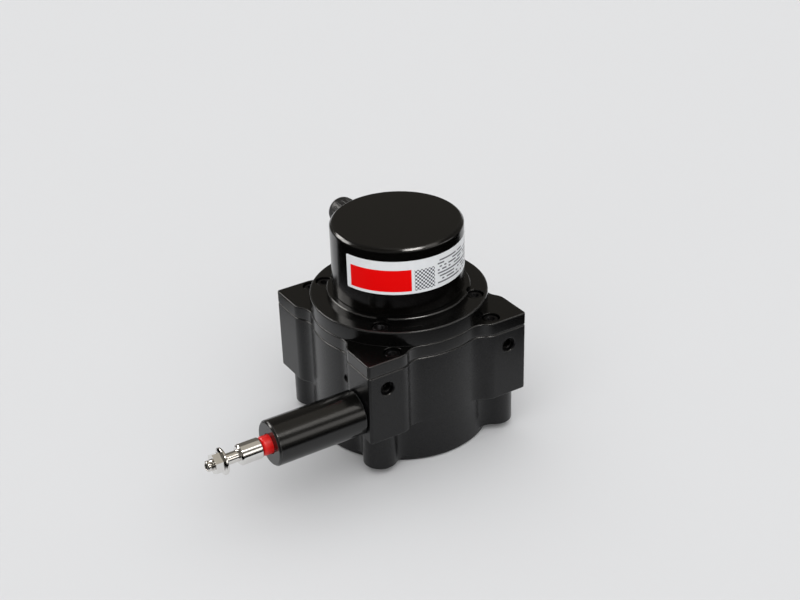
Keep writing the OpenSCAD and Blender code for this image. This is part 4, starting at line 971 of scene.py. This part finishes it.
# %% Ribs of the gland nut
def ribs_tree():
    tree, source, target = new_tree("ribs on a circle", {
        "Count": (COUNT, 18), "Radius": (FLOAT, 0.006), "Rib": (FLOAT, 0.0005), "Length": (FLOAT, 0.01),
        "Finish": (FINISH, None)})
    circle = tree.nodes.new("GeometryNodeMeshCircle")
    join(tree, source.outputs["Count"], circle.inputs["Vertices"])
    join(tree, source.outputs["Radius"], circle.inputs["Radius"])
    line = tree.nodes.new("GeometryNodeCurvePrimitiveLine")
    top = add(tree, "ShaderNodeCombineXYZ")
    join(tree, source.outputs["Length"], top.inputs["Z"])
    join(tree, top.outputs[0], line.inputs["End"])
    fine = add(tree, "GeometryNodeResampleCurve", Curve=line.outputs[0], Count=9)
    along = tree.nodes.new("GeometryNodeSplineParameter").outputs["Factor"]
    # The rib swells from nothing at both ends: the square root of 1 - (2t - 1)^8
    centred = math_node(tree, "MULTIPLY_ADD", along, 2.0, -1.0)
    power = math_node(tree, "POWER", math_node(tree, "ABSOLUTE", centred), 8.0)
    swell = math_node(tree, "SQRT", math_node(tree, "SUBTRACT", 1.0002, power))
    sized = add(tree, "GeometryNodeSetCurveRadius", Curve=fine.outputs[0], Radius=swell)
    profile = tree.nodes.new("GeometryNodeCurvePrimitiveCircle")
    profile.inputs["Resolution"].default_value = 12
    join(tree, source.outputs["Rib"], profile.inputs["Radius"])
    rib = add(tree, "GeometryNodeCurveToMesh", Curve=sized.outputs[0], Fill_Caps=True)
    join(tree, profile.outputs[0], rib.inputs["Profile Curve"])
    if "Scale" in rib.inputs:
        join(tree, swell, rib.inputs["Scale"])
    placed = add(tree, "GeometryNodeInstanceOnPoints", Points=circle.outputs[0], Instance=rib.outputs[0])
    ready(tree, placed.outputs[0], source, target)
    return tree


ribs = grown("gland_ribs", ribs_tree(), {
    "Count": 18, "Radius": gland_nut_r - 0.6 * mm, "Rib": 0.58 * mm,
    "Length": body_end - gland_nut_low.y - 0.8 * mm, "Finish": gland_plastic},
    gland_place @ at(0, 0, gland_nut_low.y + 0.4 * mm), 50)
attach(ribs, "housing")
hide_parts("gland_nut")
print("ribs", len(ribs.data.polygons), "faces")

# %% [markdown]
# ## Threads in the side holes and the small set screw
# The two mounting holes are taken to be tapped before anodising, so their threads get a finish as dark as
# the skin. That is a choice: threads cut afterwards would be bright metal all round. The same helix tree
# winds them, this time as a ridge on the inside of the hole.

# %% Threads in the tapped holes
dark_thread = bare_metal("dark_thread", (0.02, 0.02, 0.021), (0.045, 0.045, 0.047), 0.42, 500, (1, 20, 1))
winding = bpy.data.node_groups["helix thread"]
liner_end, liner_floor = 11.2 * mm, 11.15 * mm
liner_outer, liner_inner = side_hole_r + 0.02 * mm, side_hole_r - 0.02 * mm
liner_profile = [(liner_outer, 0, 0), (liner_outer, liner_end, 0), (0, liner_end, 0), (0, liner_floor, 0),
                 (liner_inner, liner_floor, 0), (liner_inner, 0, 0), (liner_outer, 0, 0)]
for x in (-side_hole_x, side_hole_x):
    place = at(x, -half_side + 0.75 * mm, side_hole_z) @ Matrix.Rotation(-math.pi / 2, 4, "X")
    side = "left" if x < 0 else "right"
    liner = turned("hole_liner_" + side, liner_profile,
                   dark_thread, place, closed=True, steps=64)
    ridge_turns = grown("hole_thread_" + side, winding, {
        "Radius": side_hole_r - 0.1 * mm, "Pitch": 1 * mm, "Length": 9 * mm, "Ridge": 0.22 * mm,
        "Finish": dark_thread},
        place @ at(0, 0, 0.4 * mm), 50)
    for piece in (liner, ridge_turns):
        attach(piece, "housing")
    print(piece.name, len(piece.data.polygons), "faces")

# %% Set screw in the left side
set_top, set_end, set_socket_r = -0.35 * mm, -3.9 * mm, 0.75 * mm
set_screw = turned("side_set_screw_dressed",
                   [(0, set_top, 0), (set_r - 0.35 * mm, set_top, 0), (set_r, -0.7 * mm, 0),
                    (set_r, set_end, 0), (0, set_end, 0)],
                   set_screw_steel, set_place, steps=64)
socket_bm = bmesh.new()
hexes = []
for z in (-2.2 * mm, 0.3 * mm):
    hexes.append([socket_bm.verts.new((set_socket_r * math.cos(math.pi / 3 * k),
                                       set_socket_r * math.sin(math.pi / 3 * k), z)) for k in range(6)])
for k in range(6):
    socket_bm.faces.new((hexes[0][k], hexes[0][(k + 1) % 6], hexes[1][(k + 1) % 6], hexes[1][k]))
socket_bm.faces.new(hexes[0][::-1])
socket_bm.faces.new(hexes[1])
socket_bm.transform(set_place)
cut(set_screw, [finished("cutter", socket_bm, set_screw_steel)])
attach(set_screw, "housing")
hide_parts("side_set_screw")
print("set screw", len(set_screw.data.polygons), "faces")

# %% [markdown]
# ## Wire
# The wire is stranded steel: many thin strands twisted together. Modelling strands for a wire of one
# millimetre would cost thousands of faces, so it is a smooth round mesh along its path whose material
# draws the twist, with painted shade between the strands, read from a UV map that counts length and
# turn. It runs from the drum's guide to the end that is pulled, and a second piece runs inside the
# housing from the drum to the guide.

# %% Wire with its length and turn as UV
def round_tube(name, path, radius, finish, sides=12):
    """A round skin along a path, with UV: turn round the wire and length along it in millimetres."""
    bm = bmesh.new()
    uv = bm.loops.layers.uv.new("wire")
    rows, travelled, lengths = [], 0.0, []
    for i, point in enumerate(path):
        before, after = path[max(i - 1, 0)], path[min(i + 1, len(path) - 1)]
        along = (after - before).normalized()
        across = along.cross(Vector((0, 0, 1))).normalized()
        up = across.cross(along)
        travelled += (point - before).length if i else 0.0
        lengths.append(travelled / mm)
        turns = [2 * math.pi * k / sides for k in range(sides)]
        rows.append([bm.verts.new(point + (across * math.cos(a) + up * math.sin(a)) * radius) for a in turns])
    for i in range(len(rows) - 1):
        for k in range(sides):
            face = bm.faces.new((rows[i][k], rows[i][(k + 1) % sides], rows[i + 1][(k + 1) % sides],
                                 rows[i + 1][k]))
            for loop, (u, v) in zip(face.loops, ((k, i), (k + 1, i), (k + 1, i + 1), (k, i + 1))):
                loop[uv].uv = (u / sides, lengths[v])
    bm.faces.new(rows[0])
    bm.faces.new(rows[-1])
    return finished(name, bm, finish, 60)


strands, strand_tree, strand_shader = new_finish("wire_strands", (0.6, 0.6, 0.61), 1.0, 0.28)
wire_uv = add(strand_tree, "ShaderNodeUVMap", {"uv_map": "wire"}).outputs[0]
parts = add(strand_tree, "ShaderNodeSeparateXYZ", Vector=wire_uv)
lay = math_node(strand_tree, "MULTIPLY_ADD", parts.outputs[0], 7.0,
                math_node(strand_tree, "MULTIPLY", parts.outputs[1], 0.9))
strand_relief_and_shade = math_node(strand_tree, "ABSOLUTE",
                 math_node(strand_tree, "SINE", math_node(strand_tree, "MULTIPLY", lay, math.pi)))
# Between the strands the colour falls to near black: that is painted shade in the grooves, while the twisted
# pattern and its bump are the real relief.
strand_tree.links.new(tint(strand_tree, strand_relief_and_shade, (0.16, 0.16, 0.16), (0.74, 0.74, 0.75)),
                      strand_shader.inputs["Base Color"])
bump(strand_tree, strand_shader, strand_relief_and_shade, 0.8, 0.00008)
start_x, crimp_x = guide_back - 1 * mm, ferrule_back + 1 * mm
steps = 24
path = [Vector((-(start_x + (crimp_x - start_x) * k / steps), wire_y, wire_z)) for k in range(steps + 1)]
wire_r = 0.5 * mm
wire = round_tube("wire_in_nozzle", path, wire_r, strands)
wire_bend = Vector((-guide_back, wire_y, wire_z))
run_low, run_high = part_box("wire_run")
wire_start = Vector((run_high.x, wire_y, run_low.z + wire_r))
inner = round_tube("wire_from_drum", [wire_start.lerp(wire_bend, k / 12) for k in range(13)], 0.475 * mm,
                   strands)
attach(inner, "housing")
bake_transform(wire)
for piece in (wire, inner):
    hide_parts("wire_run")
print("wire", len(wire.data.polygons), "faces")

# %% [markdown]
# ## Label
# A silvery film glued round the can. It is bent from a flat sheet, so its UV map is laid out in
# millimetres along its arc and up, and the material prints on it from those numbers: a plain red field
# for the maker's block, a plain square of dots where a scan code would be, and broken grey bars
# for the data. It names nobody and says nothing.

# %% Label sheet
label_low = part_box("label")[0]
label_r = 29.15 * mm
label_start, label_end = math.radians(191.3), math.radians(352)
label_long, label_tall = label_r * (label_end - label_start), 15.5 * mm
label_foot = label_low.z - 0.5 * mm
corner = 0.7 * mm


def label_mesh(columns=160):
    """The sheet follows the can: its front, its rim, and rounded corners by shortening the end columns."""
    bm = bmesh.new()
    uv = bm.loops.layers.uv.new("label")
    rounding = [corner * (1 - math.cos(math.radians(9 * k))) for k in range(11)]
    even = {label_long * k / columns for k in range(columns + 1)}
    spots = sorted(even | set(rounding) | {label_long - x for x in rounding})
    grid = []
    for u in spots:
        from_end = min(u, label_long - u)
        pull = corner - math.sqrt(max(0, corner ** 2 - (corner - from_end) ** 2)) if from_end < corner else 0
        pull = min(pull, corner - 0.02 * mm)
        a = label_start + u / label_r
        column = []
        for v in (pull, label_tall / 2, label_tall - pull):
            for radius in (label_r, can_r - 0.05 * mm):
                column.append((bm.verts.new((radius * math.cos(a), radius * math.sin(a), label_foot + v)),
                               (u / mm, v / mm)))
        grid.append(column)
    order = ((0, 2), (2, 4), (4, 5), (5, 3), (3, 1), (1, 0))
    for left, right in zip(grid, grid[1:]):
        for p, q in order:
            corners = (left[p], right[p], right[q], left[q])
            face = bm.faces.new([c[0] for c in corners])
            for loop, c in zip(face.loops, corners):
                loop[uv].uv = c[1]
    for column in (grid[0], grid[-1]):
        face = bm.faces.new([column[i][0] for i in (0, 2, 4, 5, 3, 1)])
        for loop, i in zip(face.loops, (0, 2, 4, 5, 3, 1)):
            loop[uv].uv = column[i][1]
    return bm


# %% Label print
label_white, print_tree, print_shader = new_finish("label_white", (0.8, 0.82, 0.84), 0.1, 0.3)
print_shader.inputs["Specular IOR Level"].default_value = 0.06
label_uv = add(print_tree, "ShaderNodeUVMap", {"uv_map": "label"}).outputs[0]
split = add(print_tree, "ShaderNodeSeparateXYZ", Vector=label_uv)
u_mm, v_mm = split.outputs[0], split.outputs[1]


def inside(tree, value, low, high):
    above = math_node(tree, "GREATER_THAN", value, low)
    return math_node(tree, "MULTIPLY", above, math_node(tree, "LESS_THAN", value, high))


def field(tree, left, right, low, high):
    return math_node(tree, "MULTIPLY", inside(tree, u_mm, left, right), inside(tree, v_mm, low, high))


def printed(tree, under, mask, colour):
    made = tree.nodes.new("ShaderNodeMix")
    made.data_type = "RGBA"
    tree.links.new(mask, made.inputs[0])
    tree.links.new(under, made.inputs[6])
    made.inputs[7].default_value = (*colour, 1)
    return made.outputs[2]


film = tint(print_tree, object_noise(print_tree, 500, (1, 1, 1), 5), (0.80, 0.82, 0.85), (0.88, 0.90, 0.92))
red_field = field(print_tree, 2.3, 29.8, 1.3, 11.4)
square = field(print_tree, 31.1, 40.4, 1.3, 10.9)
dots = add(print_tree, "ShaderNodeTexChecker", Vector=label_uv, Scale=1.15).outputs["Fac"]
row_pitch, dash = 1.5, 1.3
rows = math_node(print_tree, "MULTIPLY", v_mm, 1 / row_pitch)
row = math_node(print_tree, "FRACT", rows)
dashes = math_node(print_tree, "FLOOR", math_node(print_tree, "MULTIPLY", u_mm, 1 / dash))
cell = add(print_tree, "ShaderNodeCombineXYZ", X=dashes, Y=math_node(print_tree, "FLOOR", rows))
broken = add(print_tree, "ShaderNodeTexWhiteNoise", {"noise_dimensions": "2D"},
             Vector=cell.outputs[0]).outputs["Value"]
bars = math_node(print_tree, "MULTIPLY", inside(print_tree, row, 0.28, 0.74),
                 math_node(print_tree, "GREATER_THAN", broken, 0.24))
ruled = math_node(print_tree, "MULTIPLY", bars, field(print_tree, 41.9, 76.5, 1.5, 13.5))
colour = printed(print_tree, film, red_field, (0.84, 0.0005, 0.0005))
colour = printed(print_tree, colour, math_node(print_tree, "MULTIPLY", square, dots), (0.10, 0.10, 0.12))
colour = printed(print_tree, colour, ruled, (0.16, 0.16, 0.18))
print_tree.links.new(colour, print_shader.inputs["Base Color"])
ink = math_node(print_tree, "MAXIMUM", red_field, math_node(print_tree, "MULTIPLY", square, dots))
print_tree.links.new(math_node(print_tree, "MULTIPLY_ADD", ink, -0.08, 0.08), print_shader.inputs["Metallic"])
print_tree.links.new(math_node(print_tree, "MULTIPLY_ADD", ink, 0.1, 0.3), print_shader.inputs["Roughness"])
label = finished("label_film", label_mesh(), label_white, 40)
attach(label, "housing")
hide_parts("label")
print("label", round(label_long / mm, 1), "by", round(label_tall / mm, 1))

# %% [markdown]
# ## Floor, lamps and world
# The object stands on a seamless pale sheet, lit by wide lamps, so that it keeps the soft shadow. Black
# gloss shows only what it reflects. So a studio sets black cards round such an object: here one lies on
# the floor in front, beyond the part of the sheet that the housing mirrors, and only reflections see it.
# Small boxes draw the lines on the nozzle, the can's rim and the edges. They light nothing but gloss, and
# the wide lamps light nothing but bodies, so each can be set without spoiling the other. The low boxes
# stay dim, because a flat lid seen from low down mirrors them almost whole and would burn out. The rim
# and lid boxes are bright, and this has a price: from the two sides that mirror them, in front on the
# right and high up behind, the flat black tops look pale grey.

# %% Floor
def stage_floor():
    bm = bmesh.new()
    size = 6.0
    corners = [bm.verts.new((x * size, y * size, -0.0002)) for x, y in ((-1, -1), (1, -1), (1, 1), (-1, 1))]
    bm.faces.new(corners)
    finish, tree, shader = new_finish("floor_sheet", (0.575, 0.582, 0.597), 0.0, 0.9)
    path = tree.nodes.new("ShaderNodeLightPath")
    seen = math_node(tree, "MAXIMUM", path.outputs["Is Camera Ray"],
                     math_node(tree, "MAXIMUM", path.outputs["Is Glossy Ray"],
                               path.outputs["Is Transmission Ray"]))
    shader.inputs["Specular IOR Level"].default_value = 0.0
    shader.inputs["Emission Color"].default_value = (1.0, 1.0, 1.0, 1)
    tree.links.new(math_node(tree, "MULTIPLY", seen, 0.04), shader.inputs["Emission Strength"])
    made = finished("floor_sheet", bm, finish)


stage_floor()
print("floor laid")

# %% Black card in front, seen by reflections alone
def stage_card(start, end, steps=48):
    """A ring sector on the floor from one angle to the other; its inner rim fades in."""
    bm = bmesh.new()
    rows = []
    for k in range(steps + 1):
        a = math.radians(start + (end - start) * k / steps)
        rows.append([bm.verts.new((r * math.cos(a), r * math.sin(a), 0.00005)) for r in (0.1, 0.2, 3.0)])
    for one, two in zip(rows, rows[1:]):
        for k in range(2):
            bm.faces.new((one[k], one[k + 1], two[k + 1], two[k]))
    finish, tree, shader = new_finish("black_card", (0.0, 0.0, 0.0), 0.0, 1.0)
    shader.inputs["Specular IOR Level"].default_value = 0.0
    spot = tree.nodes.new("ShaderNodeTexCoord").outputs["Object"]
    reach = add(tree, "ShaderNodeVectorMath", {"operation": "DISTANCE"})
    tree.links.new(spot, reach.inputs[0])
    reach.inputs[1].default_value = (-0.012, 0.0, 0.0)
    tree.links.new(ramp(tree, reach.outputs["Value"], 0.124, 0.148, 0.0, 1.0), shader.inputs["Alpha"])
    made = finished("black_card", bm, finish)
    made.visible_camera = made.visible_diffuse = made.visible_shadow = made.visible_transmission = False


stage_card(122, 366)
print("card laid")

# %% Lamps and world
def lamp(name, direction, spread, radiance, colour, gloss):
    """A box far away: a sun lamp as wide as it looks, in degrees. It lights gloss alone, or bodies alone."""
    data = bpy.data.lights.new(name, "SUN")
    data.angle, data.color = math.radians(spread), colour
    data.energy = radiance * 2 * math.pi * (1 - math.cos(data.angle / 2))
    made = bpy.data.objects.new(name, data)
    made.rotation_mode = "QUATERNION"
    made.rotation_quaternion = (-Vector(direction)).to_track_quat("-Z", "Y")
    made.visible_diffuse, made.visible_glossy = not gloss, gloss
    bpy.context.scene.collection.objects.link(made)


def towards(turn, height):
    turn, height = math.radians(turn), math.radians(height)
    return math.cos(turn) * math.cos(height), math.sin(turn) * math.cos(height), math.sin(height)


warm, plain = (1.0, 0.97, 0.93), (1.0, 1.0, 1.0)
for k, turn in enumerate((-95, -81, -67, -53, -39)):
    lamp("strip_box_" + str(k), towards(turn, 18), 20, 1.2, warm, True)
for k, turn in enumerate((117, 137)):
    lamp("rim_box_" + str(k), towards(turn, 29), 17, 10, warm, True)
lamp("edge_box", (0.45, -0.49, 0.745), 20, 1.5, warm, True)
lamp("ceiling_box", (0.25, -0.10, 0.96), 60, 0.30, (1.0, 0.93, 0.80), True)
for k, direction in enumerate(((-0.06, -0.50, 0.86), (0.06, -0.53, 0.85), (0.18, -0.54, 0.82))):
    lamp("lid_box_" + str(k), direction, 9, 20, warm, True)
lamp("side_box", towards(-29, 9), 24, 1.2, plain, True)
lamp("top_light", (0.0, 0.0, 1.0), 110, 0.75, plain, False)
lamp("front_light", (-0.40, -0.66, 0.64), 90, 0.80, plain, False)
lamp("back_light", (0.40, 0.66, 0.64), 90, 0.45, plain, False)
world = bpy.data.worlds.new("studio")
world.use_nodes = True
room = world.node_tree
seen = room.nodes.new("ShaderNodeLightPath").outputs["Is Camera Ray"]
room.links.new(tint(room, seen, (0.148, 0.138, 0.121), (0.768, 0.768, 0.768)),
               room.nodes["Background"].inputs["Color"])
room.nodes["Background"].inputs["Strength"].default_value = 1.0
bpy.context.scene.world = world
bpy.context.scene.view_settings.view_transform = "Standard"
print("lamps", len(bpy.data.lights))
